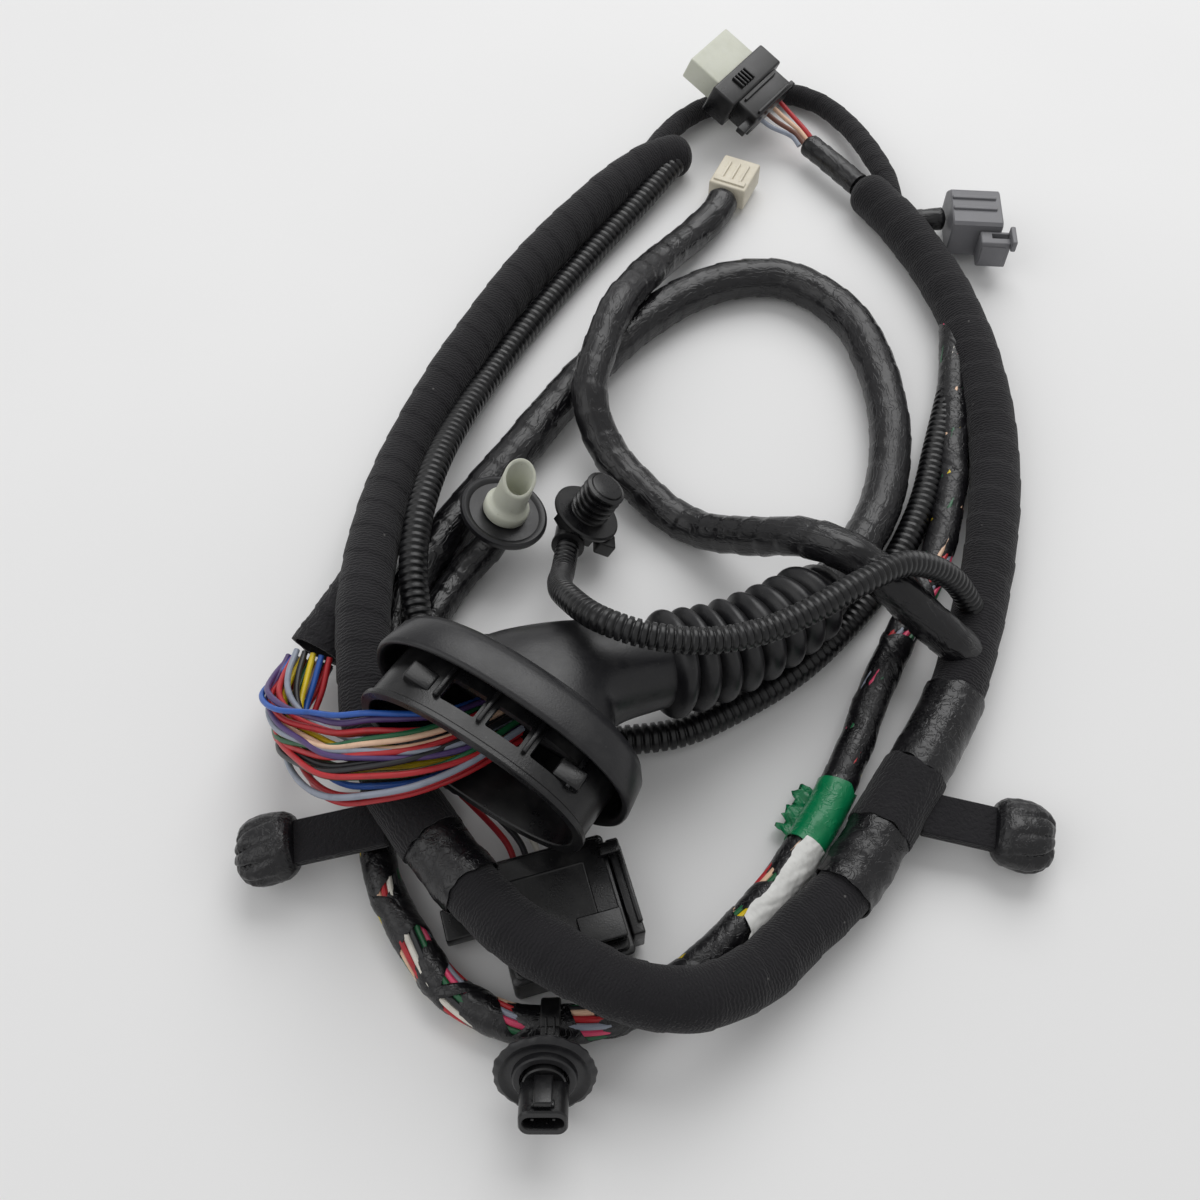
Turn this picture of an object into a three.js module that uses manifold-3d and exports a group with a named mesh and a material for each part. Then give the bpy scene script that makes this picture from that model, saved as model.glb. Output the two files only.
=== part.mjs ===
import * as THREE from "three";
import { mergeVertices } from "three/addons/utils/BufferGeometryUtils.js";
import Module from "manifold-3d";

// A vehicle wiring harness laid down in a loop: millimetres, +Z up, the floor at z = 0.
// The origin is on the floor, under the middle of the whole loop.

const wasm = await Module();
wasm.setup();

// Driving sizes
const touchGap = 0.35;
const layoutShift = [-0.7, 11.89, 0.23];

const mainRadius = 7.1;
const innerRadius = 6;
const openRadius = 4.5;
const crossRadius = 5.3;
const longConduitRadius = 3.9;
const plugConduitRadius = 3.3;
const bulbBranchRadius = 4.5;
const archRadius = 3.6;
const moduleBranchRadius = 3.2;
const greyBranchRadius = 3.6;
const upperBranchRadius = 3.8;
const wireRadius = 0.8;
const smallWireRadius = 0.8;

// Hand-laid routes of the taped trunks, branches and ribbed conduits
const mainRoute = [
  [9.1, 127.2, 7.2], [-6.4, 119.2, 7.2], [-25.5, 98.1, 7.2], [-44.6, 70, 7.2], [-60.2, 40.3, 7.2],
  [-72.2, 12.2, 7.2], [-80.3, -15.4, 9.1], [-83.3, -44, 15.6], [-83.3, -67.1, 19.4],
  [-80.5, -87.7, 20.1], [-76.3, -106.3, 18.4], [-63.6, -126.1, 17.4], [-49.5, -143.5, 19.6],
  [-39.5, -153, 21.2], [-23.5, -161.8, 21.2], [-15, -165.5, 20.6], [-1.9, -166.6, 19.2],
  [6.1, -164, 17.2], [14.7, -158.5, 14], [23.9, -149.4, 11], [35, -139.3, 9.4], [48.4, -120, 8.8],
  [68.9, -87.9, 7.4], [79.3, -62.5, 7.2], [87.3, -36.6, 7.2], [93, -6.9, 7.2], [94, 24.3, 7.2],
  [90, 54.9, 7.2], [80.5, 83.5, 7.2], [66.4, 109.7, 7.2],
];
const innerRoute = [
  [-42.5, -103.5, 30], [-34, -96.5, 29], [-22, -91, 27.5], [-8.5, -86.5, 24], [5.5, -81, 20.5],
  [20.5, -73, 19], [33.5, -62.5, 16.5], [46.5, -45, 9.5], [58, -24, 6.5], [63.5, -0.5, 6.5],
  [63, 25, 6.5], [55.5, 50, 6.5], [37.5, 65.5, 6.5], [15, 63.5, 6.5], [-9.5, 46, 6.5],
  [-29.5, 21, 6.5], [-47, -6, 6.5], [-63, -31, 6.5], [-73, -49, 6.5], [-76.5, -65.5, 6.5],
  [-77, -83.5, 6.5], [-77, -97, 6.5],
];
const openRoute = [
  [-77.2, -97.4, 5.6], [-77.5, -113.7, 4.8], [-77.1, -124.2, 4.8], [-72.5, -138.2, 4.8],
  [-65.6, -149.8, 5], [-56.6, -160.8, 5], [-44.6, -167.3, 5], [-33.5, -168.8, 5],
  [-19.5, -166.8, 5], [-5.5, -159.8, 5], [9.6, -147.7, 5.5], [22, -133.9, 6.1], [33.6, -117.4, 6.1],
  [42.6, -99.8, 5.5], [51.1, -80.8, 5], [60.7, -63, 5], [71.3, -42, 5], [79.3, -17.4, 5],
  [83.8, 10.7, 5], [87.3, 33.7, 6], [90.8, 55.8, 7.2],
];
const crossRoute = [
  [75.4, -75, 8], [69.5, -73.5, 14], [61, -69, 20], [51.5, -63, 26.5], [41.5, -56.5, 30.5],
  [30.5, -49.5, 27], [18.5, -41.5, 16], [3.5, -31, 6], [-9, -19.5, 6], [-20.5, -4.5, 9],
  [-25, 9.5, 16.5], [-21, 28, 19], [-15.5, 43.5, 19], [-4.5, 67, 11], [8.5, 86.5, 6], [16, 96, 6],
  [20.5, 105.5, 6],
];
const longConduitRoute = [
  [5, 122.4, 7.6], [-8.5, 102.6, 6], [-25.5, 78.5, 4.5], [-41, 53.5, 4.5], [-54.1, 28.5, 5.5],
  [-63.6, 2.9, 10.5], [-69.1, -20.6, 16], [-71.6, -40.6, 18], [-71.1, -58.2, 17.5],
  [-67.6, -73.2, 14], [-60.1, -84.7, 8.5], [-47.5, -94.8, 4.5], [-32, -98.6, 4.5],
  [-17, -97.3, 4.5], [-1.5, -95, 4.5], [14, -87.6, 4.5], [29.9, -77, 4.5], [44.2, -63.1, 4.5],
  [58.3, -45.2, 4.5], [69.9, -23.6, 4.5], [77.7, -0.6, 4.5], [84.7, 20.9, 5],
];
const plugConduitRoute = [
  [-31, -40.5, 9], [-32, -50.5, 12.5], [-32.3, -63, 25.5], [-29.8, -76, 40], [-22.5, -86.3, 47],
  [-10.5, -91.3, 47.5], [4, -91.2, 45], [17.5, -87, 43], [30, -80.5, 42.5], [42, -72.5, 41.5],
  [55, -64, 36.5], [69, -60.5, 24], [79.5, -63, 8],
];
const bulbBranchRoute = [
  [-49.3, -34.7, 13.4], [-50.8, -36.6, 10.2], [-53.9, -40.2, 7.3], [-59.5, -46, 5.2],
  [-66.5, -59, 5], [-70.5, -71, 5], [-75, -83.5, 6.5],
];
const archRoute = [
  [-8.3, 117.8, 7.6], [-1, 132.5, 7], [7, 146, 5], [17.5, 155.5, 4], [31.5, 161, 4], [46, 162.5, 4],
  [56.5, 156.5, 4.5], [65.5, 143.5, 5.5], [72, 124.5, 7.5], [75.5, 108, 8.5], [75, 93.4, 7.6],
];
const moduleBranchRoute = [
  [-76.5, -93, 6.5], [-70, -100, 5], [-62.5, -105, 5], [-55.5, -111, 6],
];
const greyBranchRoute = [
  [76.4, 90.2, 8], [86, 90, 9.5], [91.9, 90, 10],
];
const upperBranchRoute = [
  [65.6, 109.4, 7.4], [57, 121.5, 7.5], [50, 131.5, 7],
];

// Loose wires between the breakout's mouth and the grommet: the bundle's middle at each
// station, its turn about its own run in degrees, and the pitch of its lanes and layers
const fanLayers = [6, 5, 5];
const fanStations = [
  { at: [-96.5, -78, 13.2], turn: 180, lane: 2.25, layer: 2.25 },
  { at: [-98.5, -86, 14], turn: 150, lane: 2.3, layer: 2.3 },
  { at: [-99.5, -93.5, 16], turn: 110, lane: 2.5, layer: 2.5 },
  { at: [-96.5, -102.5, 19.5], turn: 70, lane: 2.8, layer: 2.6 },
  { at: [-89.5, -110.5, 25], turn: 40, lane: 3.2, layer: 2.6 },
  { at: [-82, -115.8, 30.5], turn: 25, lane: 3.4, layer: 2.6 },
  { at: [-73.5, -117.5, 35], turn: 15, lane: 3.4, layer: 2.5 },
  { at: [-64.5, -117, 35.8], turn: 12, lane: 3.1, layer: 2.5 },
  { at: [-55.3, -113.3, 34], turn: 10, lane: 2.6, layer: 2.3 },
  { at: [-43.2, -104.1, 30.1], turn: 0, lane: 2.1, layer: 2.1 },
];
const fanLayerShift = 0.36;
const fanColours = [
  "#5a4470", "#b52c33", "#e0bfa6", "#39383c", "#1f5a38", "#8d99a8",
  "#c0322f", "#c8a21d", "#1d5b36", "#dcb79e", "#b02a30",
  "#8f9299", "#26262a", "#d8c62f", "#2d5fb0", "#a52832",
];

// Grommet: an oval rubber cup with a boot behind it, and the plastic frame that sits in it
const grommetPlace = [-45.4, -110.4, 34.8];
const grommetTurn = [84, 9.2, -32.2];
const ovalExponent = 2.3;
const cupProfile = [
  [-13, 25, 13.5], [-12, 29.8, 16], [-10, 33.2, 18.8], [-7, 34.5, 19.6], [-1, 35.2, 20.2], [0, 34.7, 19.7],
];
const cavityDepth = 9.5;
const cavityHalf = [32.6, 17.2];
const frameFlange = 1.8;
const frameCollarHalf = [29.5, 14];
const frameWall = 1.8;
const frameReach = 12;
const frameLip = 0.9;
const windowSize = [9, 6];
const windowPlaces = [-9, 3, 15];
const clipBlock = [7, 3.2, 5];
const clipPlaces = [-20, 20];
const rubberWall = 2.2;
const bootShoulder = [
  { at: [-39.2, -101, 32.8], heading: 58, halfWide: 24, halfHigh: 13.4 },
  { at: [-33, -95.6, 31.2], heading: 48, halfWide: 19, halfHigh: 13 },
  { at: [-25.5, -91.8, 29], heading: 28, halfWide: 15, halfHigh: 12.4 },
  { at: [-17, -89, 26.5], heading: 14, halfWide: 12.4, halfHigh: 11.8 },
];
const foldCount = 8;
const foldPitch = 6.2;
const foldStart = 40;
const crestRadius = [14, 10.8];
const valleyRadius = [11.4, 8.4];
const cuffLength = 4;
const bootSides = 18;

// Tape-wrapped breakout of the loose wires
const breakoutRings = [
  { at: [-83.6, -52.2, 16.9], halfWide: 5.6, halfHigh: 5.6 },
  { at: [-87.8, -61.3, 15.4], halfWide: 6.2, halfHigh: 5.8 },
  { at: [-91.9, -69.3, 14.2], halfWide: 6.9, halfHigh: 5.4 },
  { at: [-95.5, -76, 13.5], halfWide: 7.4, halfHigh: 4.7 },
];

// Bracket arms with their wrapped heads and the tape that holds them to the trunk
const armWidth = 11;
const armThickness = 3;
const headReach = 5;
const headProfile = [
  [0, 7.3, 4.8], [1.7, 8.2, 5.9], [5.1, 8.8, 6.3], [9.4, 8.7, 6], [12.8, 7.1, 4.8], [14.9, 4.3, 2.9],
];
const headFolds = 7;
const foldDepth = 0.07;
const tapeThickness = 0.7;
const wrapClearance = 0.7;
const brackets = [
  { side: "left", root: [-66, -123.4, 17], end: [-99.5, -128.4, 10.6], tape: [0.402, 0.43] },
  { side: "right", root: [49.9, -117.6, 9.6], end: [78.9, -123.8, 7.4], tape: [0.634, 0.662] },
];

// Disc-sealed two-way connector clipped to the open branch
const discPlace = [-34, -180.6, 11.9];
const discTilt = 60;
const discRadius = 11.3;
const discThickness = 2.2;
const discRingRadius = 7.2;
const discBore = 5.2;
const discNeck = 3.2;
const spigotSize = [10.6, 7, 9];
const spigotDrop = 3;
const spigotSocket = [8.6, 3.4, 6.5];
const clipPlace = 0.2585;
const clipBandWidth = 4.5;
const clipBandThickness = 1.3;

// Bulb holder in its rubber seal
const bulbPlace = [-48.4, -33.5, 15.8];
const bulbAxis = [0.34, 0.07, 0.94];
const bulbSealRadius = 12.4;
const bulbSealThickness = 2.4;
const bulbBaseRadius = 6.3;
const bulbTipRadius = 4.5;
const bulbHeight = 18;
const bulbCavityRadius = 3.6;

// Ribbed plug on its six-sided base
const plugPlace = [-26.2, -32, 12.2];
const plugAxis = [0.49, 0.15, 0.86];
const plugFlangeRadius = 9.75;
const plugBarrelRadius = 4.7;
const plugRibRadius = 5.7;
const plugRibCount = 5;
const plugRibPitch = 2.1;
const plugHeight = 13;
const plugFlangeThickness = 1.8;
const plugBaseRadius = 7.2;
const plugBaseHeight = 5;
const spoutRadius = 4.2;
const plugLugSize = [5, 5, 4.5];
const plugLugPlace = [7.5, -5.2, -2.9];
const spoutLength = 7.5;

// Control module with its latch rail and lock
const modulePlace = [-31.6, -143.6];
const moduleYaw = 16;
const moduleSize = [29, 30, 12.6];
const moduleFloorGap = 0.3;
const moduleBayDepth = 9;
const moduleBay = [20, 6];
const latchSize = [3, 24, 10];
const lockSize = [10.5, 7, 3.4];

// Upper connector: a dark housing with a pale insert
const upperPlace = [27.5, 150, 16.8];
const upperAxis = [0.75, -0.55, -0.36];
const upperAcross = [0.58, 0.814, -0.03];
const collarSize = [9.5, 31, 11];
const bodySize = [8.6, 24, 9];
const insertSize = [12.7, 22.5, 8.6];
const insertWall = 1;
const ribCount = 5;
const upperWireSpread = bodySize[1] * 0.175;

// Grey connector
const greyPlace = [100.3, 89.5, 10.2];
const greyYaw = -4;
const greySize = [16, 20, 14];
const greyWall = 1.5;
const greyDepth = 11;
const greyChamfer = 5;
const greyCore = [8, 11, 6];
const greyLatchSize = [9.5, 5.6, 10];

// Cream connector at the end of the cross branch
const creamSize = [15, 13, 8];

// Green tape with its torn flag, and the blank white label beside it, on the open branch
const labelStart = 0.39;
const labelLength = 0.075;
const labelGap = 0.0015;
const greenStart = labelStart + labelLength + labelGap;
const greenLength = 0.051;
const branchWrapClearance = 0.5;
const tapeWrap = 0.6;
const labelWrap = 0.4;
const flagSize = [9, 15, 1.2];

const degrees = Math.PI / 180;
const up = new THREE.Vector3(0, 0, 1);

function vector(list) {
  return new THREE.Vector3(...list);
}

function curveThrough(points) {
  const curve = new THREE.CatmullRomCurve3(points.map(vector));
  curve.arcLengthDivisions = 600;
  return curve;
}

function stretchOf(curve, from, to) {
  const places = [];
  const count = 8;
  for (let i = 0; i <= count; i++) {
    const place = curve.getPointAt(from + ((to - from) * i) / count);
    places.push(place);
  }
  return new THREE.CatmullRomCurve3(places);
}

function solidOf(geometry) {
  const bare = geometry.clone();
  bare.deleteAttribute("normal");
  bare.deleteAttribute("uv");
  const merged = mergeVertices(bare, 1e-4);
  return new wasm.Manifold(
    new wasm.Mesh({
      numProp: 3,
      vertProperties: merged.attributes.position.array,
      triVerts: new Uint32Array(merged.index.array),
    }),
  );
}

function geometryOf(solid) {
  const mesh = solid.getMesh();
  const geometry = new THREE.BufferGeometry();
  geometry.setAttribute("position", new THREE.BufferAttribute(mesh.vertProperties, 3));
  geometry.setIndex(new THREE.BufferAttribute(mesh.triVerts, 1));
  return geometry;
}

function tube(curve, radius, sides, stepLength) {
  const section = new THREE.Shape().absarc(0, 0, radius, 0, 2 * Math.PI);
  const steps = Math.max(2, Math.round(curve.getLength() / stepLength));
  const geometry = new THREE.ExtrudeGeometry(section, {
    extrudePath: curve,
    steps,
    curveSegments: sides / 2,
    bevelEnabled: false,
  });
  return solidOf(geometry);
}

// An oval ring of points in the plane of two unit vectors; exponent 2 is an ellipse
function ovalRing(centre, wide, high, halfWide, halfHigh, count, exponent = 2) {
  const points = [];
  for (let i = 0; i < count; i++) {
    const angle = (2 * Math.PI * i) / count;
    const x = Math.sign(Math.cos(angle)) * Math.abs(Math.cos(angle)) ** (2 / exponent);
    const y = Math.sign(Math.sin(angle)) * Math.abs(Math.sin(angle)) ** (2 / exponent);
    const point = centre.clone().addScaledVector(wide, x * halfWide);
    points.push(point.addScaledVector(high, y * halfHigh));
  }
  return points;
}

// A closed skin through rings with the same count of points, with a fan over each end
function loft(rings) {
  const count = rings[0].length;
  const positions = rings.flat().flatMap((p) => p.toArray());
  const index = [];
  for (let r = 0; r < rings.length - 1; r++) {
    for (let i = 0; i < count; i++) {
      const a = r * count + i;
      const b = r * count + ((i + 1) % count);
      index.push(a, b, b + count, a, b + count, a + count);
    }
  }
  for (const last of [false, true]) {
    const ring = last ? rings.at(-1) : rings[0];
    const first = last ? (rings.length - 1) * count : 0;
    const centre = ring.reduce((sum, p) => sum.add(p), new THREE.Vector3()).divideScalar(count);
    const hub = positions.length / 3;
    positions.push(...centre.toArray());
    for (let i = 0; i < count; i++) {
      const a = first + i;
      const b = first + ((i + 1) % count);
      index.push(hub, last ? a : b, last ? b : a);
    }
  }
  const geometry = new THREE.BufferGeometry();
  geometry.setAttribute("position", new THREE.Float32BufferAttribute(positions, 3));
  geometry.setIndex(index);
  return solidOf(geometry);
}

// Rings square to the run through their places, or to a given heading in degrees
function ringsAlong(places, count, exponent = 2) {
  return places.map((place, i) => {
    const before = vector(places[Math.max(0, i - 1)].at);
    const after = vector(places[Math.min(places.length - 1, i + 1)].at);
    const run = after.sub(before).normalize();
    if (place.heading !== undefined) {
      run.set(Math.cos(place.heading * degrees), Math.sin(place.heading * degrees), run.z).normalize();
    }
    const wide = new THREE.Vector3().crossVectors(up, run).normalize();
    const high = new THREE.Vector3().crossVectors(run, wide);
    return ovalRing(vector(place.at), wide, high, place.halfWide, place.halfHigh, count, exponent);
  });
}

function ringOnCurve(curve, distance, radius, count) {
  const share = Math.min(1, distance / curve.getLength());
  const run = curve.getTangentAt(share);
  const wide = new THREE.Vector3().crossVectors(up, run).normalize();
  const high = new THREE.Vector3().crossVectors(run, wide);
  return ovalRing(curve.getPointAt(share), wide, high, radius, radius, count);
}

function box(size, place = [0, 0, 0]) {
  return solidOf(new THREE.BoxGeometry(...size).translate(...place));
}

function lathe(profile, segments = 24) {
  const points = profile.map(([radius, height]) => new THREE.Vector2(radius, height));
  return solidOf(new THREE.LatheGeometry(points, segments).rotateX(Math.PI / 2));
}

function cylinder(radius, from, to, segments = 20) {
  return lathe([[0, from], [radius, from], [radius, to], [0, to]], segments);
}

function roundedPlate(width, length, thickness, corner, segments = 3) {
  const x = width / 2;
  const y = length / 2;
  const shape = new THREE.Shape();
  shape.absarc(x - corner, y - corner, corner, 0, 90 * degrees);
  shape.absarc(corner - x, y - corner, corner, 90 * degrees, 180 * degrees);
  shape.absarc(corner - x, corner - y, corner, 180 * degrees, 270 * degrees);
  shape.absarc(x - corner, corner - y, corner, 270 * degrees, 360 * degrees);
  return new THREE.ExtrudeGeometry(shape, {
    depth: thickness,
    bevelEnabled: false,
    curveSegments: segments,
  });
}

function moved(solid, matrix) {
  return solidOf(geometryOf(solid).applyMatrix4(matrix));
}

function frameMatrix(place, xAxis, yAxis, zAxis) {
  return new THREE.Matrix4().makeBasis(xAxis, yAxis, zAxis).setPosition(vector(place));
}

function axisMatrix(place, axis) {
  const turn = new THREE.Quaternion().setFromUnitVectors(up, vector(axis).normalize());
  return new THREE.Matrix4().makeRotationFromQuaternion(turn).setPosition(vector(place));
}

const harness = new THREE.Group();
harness.position.set(...layoutShift);

function material(colour, roughness, metalness = 0) {
  return new THREE.MeshStandardMaterial({ color: colour, roughness, metalness });
}

const tape = material("#1b1b1d", 0.55);
const cloth = material("#202022", 0.85);
const conduitPlastic = material("#161617", 0.5);
const rubber = material("#242526", 0.75);
const plastic = material("#1c1d1f", 0.45);

function add(name, solid, look, matrix) {
  const mesh = new THREE.Mesh(geometryOf(solid), look);
  mesh.name = name;
  if (matrix) mesh.applyMatrix4(matrix);
  harness.add(mesh);
}

// Trunks and branches; each branch is notched where it meets the one that it leaves
const mainCurve = curveThrough(mainRoute);
const innerCurve = curveThrough(innerRoute);
const openCurve = curveThrough(openRoute);
const mainTrunk = tube(mainCurve, mainRadius, 12, 17);
const mainKeepOut = tube(mainCurve, mainRadius + touchGap, 12, 17);
const innerTrunk = tube(innerCurve, innerRadius, 10, 13);
const innerKeepOut = tube(innerCurve, innerRadius + touchGap, 10, 13);
const openBranch = tube(openCurve, openRadius, 8, 12);
const openKeepOut = tube(openCurve, openRadius + touchGap, 8, 12);

function branch(route, radius, sides, stepLength, ...neighbours) {
  const whole = tube(curveThrough(route), radius, sides, stepLength);
  return neighbours.reduce((left, neighbour) => left.subtract(neighbour), whole);
}

function addTrunks() {
  add("main_trunk", mainTrunk, cloth);
  add("inner_trunk", innerTrunk, tape);
  add("open_branch", openBranch.subtract(mainKeepOut), tape);
  add("cross_branch", branch(crossRoute, crossRadius, 8, 10, mainKeepOut), tape);
  add("long_conduit", branch(longConduitRoute, longConduitRadius, 8, 11, mainKeepOut, openKeepOut),
    conduitPlastic);
  add("plug_conduit", branch(plugConduitRoute, plugConduitRadius, 8, 7, mainKeepOut), conduitPlastic);
  add("bulb_branch", branch(bulbBranchRoute, bulbBranchRadius, 8, 9, innerKeepOut, bulbKeepOut()), tape);
  add("arch_branch", branch(archRoute, archRadius, 8, 8, mainKeepOut), cloth);
  add("module_branch", branch(moduleBranchRoute, moduleBranchRadius, 8, 7, innerKeepOut, openKeepOut),
    tape);
  add("grey_branch", branch(greyBranchRoute, greyBranchRadius, 8, 6, mainKeepOut), tape);
  add("upper_branch", branch(upperBranchRoute, upperBranchRadius, 8, 8, mainKeepOut), tape);
}

function addBreakout() {
  const sleeve = loft(ringsAlong(breakoutRings, 14));
  add("breakout", sleeve.subtract(mainKeepOut), cloth);
}

// Each loose wire keeps its own lane and layer all the way
function fanWireRoute(layer, lane) {
  return fanStations.map((station, i) => {
    const before = vector(fanStations[Math.max(0, i - 1)].at);
    const after = vector(fanStations[Math.min(fanStations.length - 1, i + 1)].at);
    const run = after.sub(before).normalize();
    const out = new THREE.Vector3().crossVectors(run, up).normalize();
    const high = new THREE.Vector3().crossVectors(out, run);
    const turn = station.turn * degrees;
    const across = out.clone().multiplyScalar(Math.cos(turn)).addScaledVector(high, -Math.sin(turn));
    const over = out.clone().multiplyScalar(Math.sin(turn)).addScaledVector(high, Math.cos(turn));
    const sideways = lane - (fanLayers[layer] - 1) / 2 + fanLayerShift * (layer - 1);
    const place = vector(station.at).addScaledVector(across, sideways * station.lane);
    return place.addScaledVector(over, (1 - layer) * station.layer).toArray();
  });
}

function addFanWires() {
  let number = 0;
  fanLayers.forEach((lanes, layer) => {
    for (let lane = 0; lane < lanes; lane++) {
      const name = "wire_" + String(number + 1).padStart(2, "0");
      const wire = tube(curveThrough(fanWireRoute(layer, lane)), wireRadius, 8, 5.7);
      add(name, wire, material(fanColours[number], 0.4));
      number += 1;
    }
  });
}

// Grommet in its own frame: X along the long axis, Z out of the mouth
function grommetMatrix() {
  const turn = new THREE.Euler(...grommetTurn.map((angle) => angle * degrees), "ZYX");
  return new THREE.Matrix4().makeRotationFromEuler(turn).setPosition(vector(grommetPlace));
}

function localRing(height, halfWide, halfHigh, count = 26) {
  const wide = new THREE.Vector3(1, 0, 0);
  const high = new THREE.Vector3(0, 1, 0);
  return ovalRing(new THREE.Vector3(0, 0, height), wide, high, halfWide, halfHigh, count, ovalExponent);
}

// Height of the oval wall above its long axis at a place along it
function ovalHeight(place, halfWide, halfHigh) {
  return halfHigh * (1 - Math.abs(place / halfWide) ** ovalExponent) ** (1 / ovalExponent);
}

function bootRings(inset) {
  const shoulder = bootShoulder.map((place) => ({
    ...place,
    halfWide: place.halfWide - inset,
    halfHigh: place.halfHigh - inset,
  }));
  return ringsAlong(shoulder, bootSides);
}

function foldRings() {
  const rings = [];
  const steps = [0, 0.35, 0.65];
  for (let fold = 0; fold < foldCount; fold++) {
    for (const step of steps) {
      const share = (fold + step) / foldCount;
      const crest = THREE.MathUtils.lerp(...crestRadius, share);
      const valley = THREE.MathUtils.lerp(...valleyRadius, share);
      const rise = Math.sin(Math.PI * step) ** 0.8;
      const radius = valley + (crest - valley) * rise;
      rings.push(ringOnCurve(innerCurve, foldStart + (fold + step) * foldPitch, radius, bootSides));
    }
  }
  const end = foldStart + foldCount * foldPitch;
  rings.push(ringOnCurve(innerCurve, end, valleyRadius[1], bootSides));
  rings.push(ringOnCurve(innerCurve, end + cuffLength, valleyRadius[1], bootSides));
  return rings;
}

function passageRings(end) {
  const rings = [];
  for (let fold = 0; fold <= foldCount; fold++) {
    const radius = Math.max(
      THREE.MathUtils.lerp(...valleyRadius, fold / foldCount) - rubberWall,
      innerRadius + touchGap,
    );
    rings.push(ringOnCurve(innerCurve, foldStart + fold * foldPitch, radius, bootSides));
  }
  rings.push(ringOnCurve(innerCurve, end, innerRadius + touchGap, bootSides));
  rings.push(ringOnCurve(innerCurve, end + 3, innerRadius + touchGap, bootSides));
  return rings;
}

function addGrommet() {
  const matrix = grommetMatrix();
  const cup = loft(cupProfile.map(([height, wide, high]) => localRing(height, wide, high)));
  const cavity = loft([localRing(-cavityDepth, ...cavityHalf), localRing(2, ...cavityHalf)]);
  const boot = loft([...bootRings(0), ...foldRings()]);
  const foldEnd = foldStart + foldCount * foldPitch + cuffLength;
  const passage = loft([
    ...bootRings(rubberWall),
    ...passageRings(foldEnd),
  ]);
  const throat = loft([
    localRing(cupProfile[0][0] - 2, cupProfile[0][1] - 4, cupProfile[0][2] - rubberWall - 1),
    localRing(-cavityDepth + 1, cupProfile[0][1] - 4, cupProfile[0][2] - rubberWall - 1),
  ]);
  const cupInPlace = moved(cup, matrix);
  const rubberPart = cupInPlace.add(boot).subtract(moved(cavity, matrix));
  add("grommet_boot", rubberPart.subtract(passage).subtract(moved(throat, matrix)), rubber);
  add("grommet_frame", frameSolid(), plastic, matrix);
}

function frameSolid() {
  const seat = -cavityDepth + touchGap;
  const flange = loft([
    localRing(seat, cavityHalf[0] - touchGap, cavityHalf[1] - touchGap),
    localRing(seat + frameFlange, cavityHalf[0] - touchGap, cavityHalf[1] - touchGap),
  ]);
  const collar = loft([
    localRing(seat, ...frameCollarHalf),
    localRing(frameReach - 2, ...frameCollarHalf),
    localRing(frameReach - 1.2, frameCollarHalf[0] + frameLip, frameCollarHalf[1] + frameLip),
    localRing(frameReach, frameCollarHalf[0] + frameLip, frameCollarHalf[1] + frameLip),
  ]);
  const inside = frameCollarHalf.map((half) => half - frameWall);
  const bore = loft([localRing(seat - 1, ...inside), localRing(frameReach + 1, ...inside)]);
  let frame = flange.add(collar);
  for (const place of clipPlaces) {
    const wallTop = ovalHeight(place, ...frameCollarHalf);
    const block = box(clipBlock, [place, wallTop + clipBlock[1] / 2 - frameWall, 4]);
    frame = frame.add(block);
  }
  frame = frame.subtract(bore);
  for (const place of windowPlaces) {
    const wallTop = ovalHeight(place, ...frameCollarHalf);
    const window = box([windowSize[0], 8, windowSize[1]], [place, wallTop, 3.6]);
    frame = frame.subtract(window);
  }
  return frame;
}

// A bracket's own frame: X out along the arm from its root, Z up
function bracketMatrix(bracket) {
  const run = vector(bracket.end).sub(vector(bracket.root)).normalize();
  const side = new THREE.Vector3().crossVectors(up, run).normalize();
  return frameMatrix(bracket.root, run, side, new THREE.Vector3().crossVectors(run, side));
}

function headRing([height, halfWide, halfHigh], start) {
  const points = [];
  const count = 22;
  for (let i = 0; i < count; i++) {
    const angle = (2 * Math.PI * i) / count;
    const swell = 1 + foldDepth * Math.cos(headFolds * angle + height * 0.12);
    const y = Math.cos(angle) * halfWide * swell;
    points.push(new THREE.Vector3(start + height, y, Math.sin(angle) * halfHigh * swell));
  }
  return points;
}

function addBrackets() {
  for (const bracket of brackets) {
    const matrix = bracketMatrix(bracket);
    const reach = vector(bracket.end).distanceTo(vector(bracket.root));
    const plate = (grow) =>
      box([reach + grow, armWidth + 2 * grow, armThickness + 2 * grow], [(reach + grow) / 2, 0, 0]);
    const held = stretchOf(mainCurve, ...bracket.tape);
    const tapeBore = mainRadius + wrapClearance;
    const outer = tube(held, tapeBore + tapeThickness, 12, 8);
    const inner = tube(stretchOf(mainCurve, bracket.tape[0] - 0.01, bracket.tape[1] + 0.01), tapeBore, 12, 8);
    const keepOut = tube(held, tapeBore + tapeThickness + touchGap, 12, 8).add(mainKeepOut);
    const head = loft(headProfile.map((ring) => headRing(ring, reach - headReach)));
    add(bracket.side + "_bracket", moved(plate(0), matrix).subtract(keepOut), plastic);
    add(bracket.side + "_bracket_wrap", moved(head.subtract(plate(touchGap)), matrix), tape);
    add(bracket.side + "_bracket_tape", outer.subtract(inner), tape);
  }
}

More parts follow.
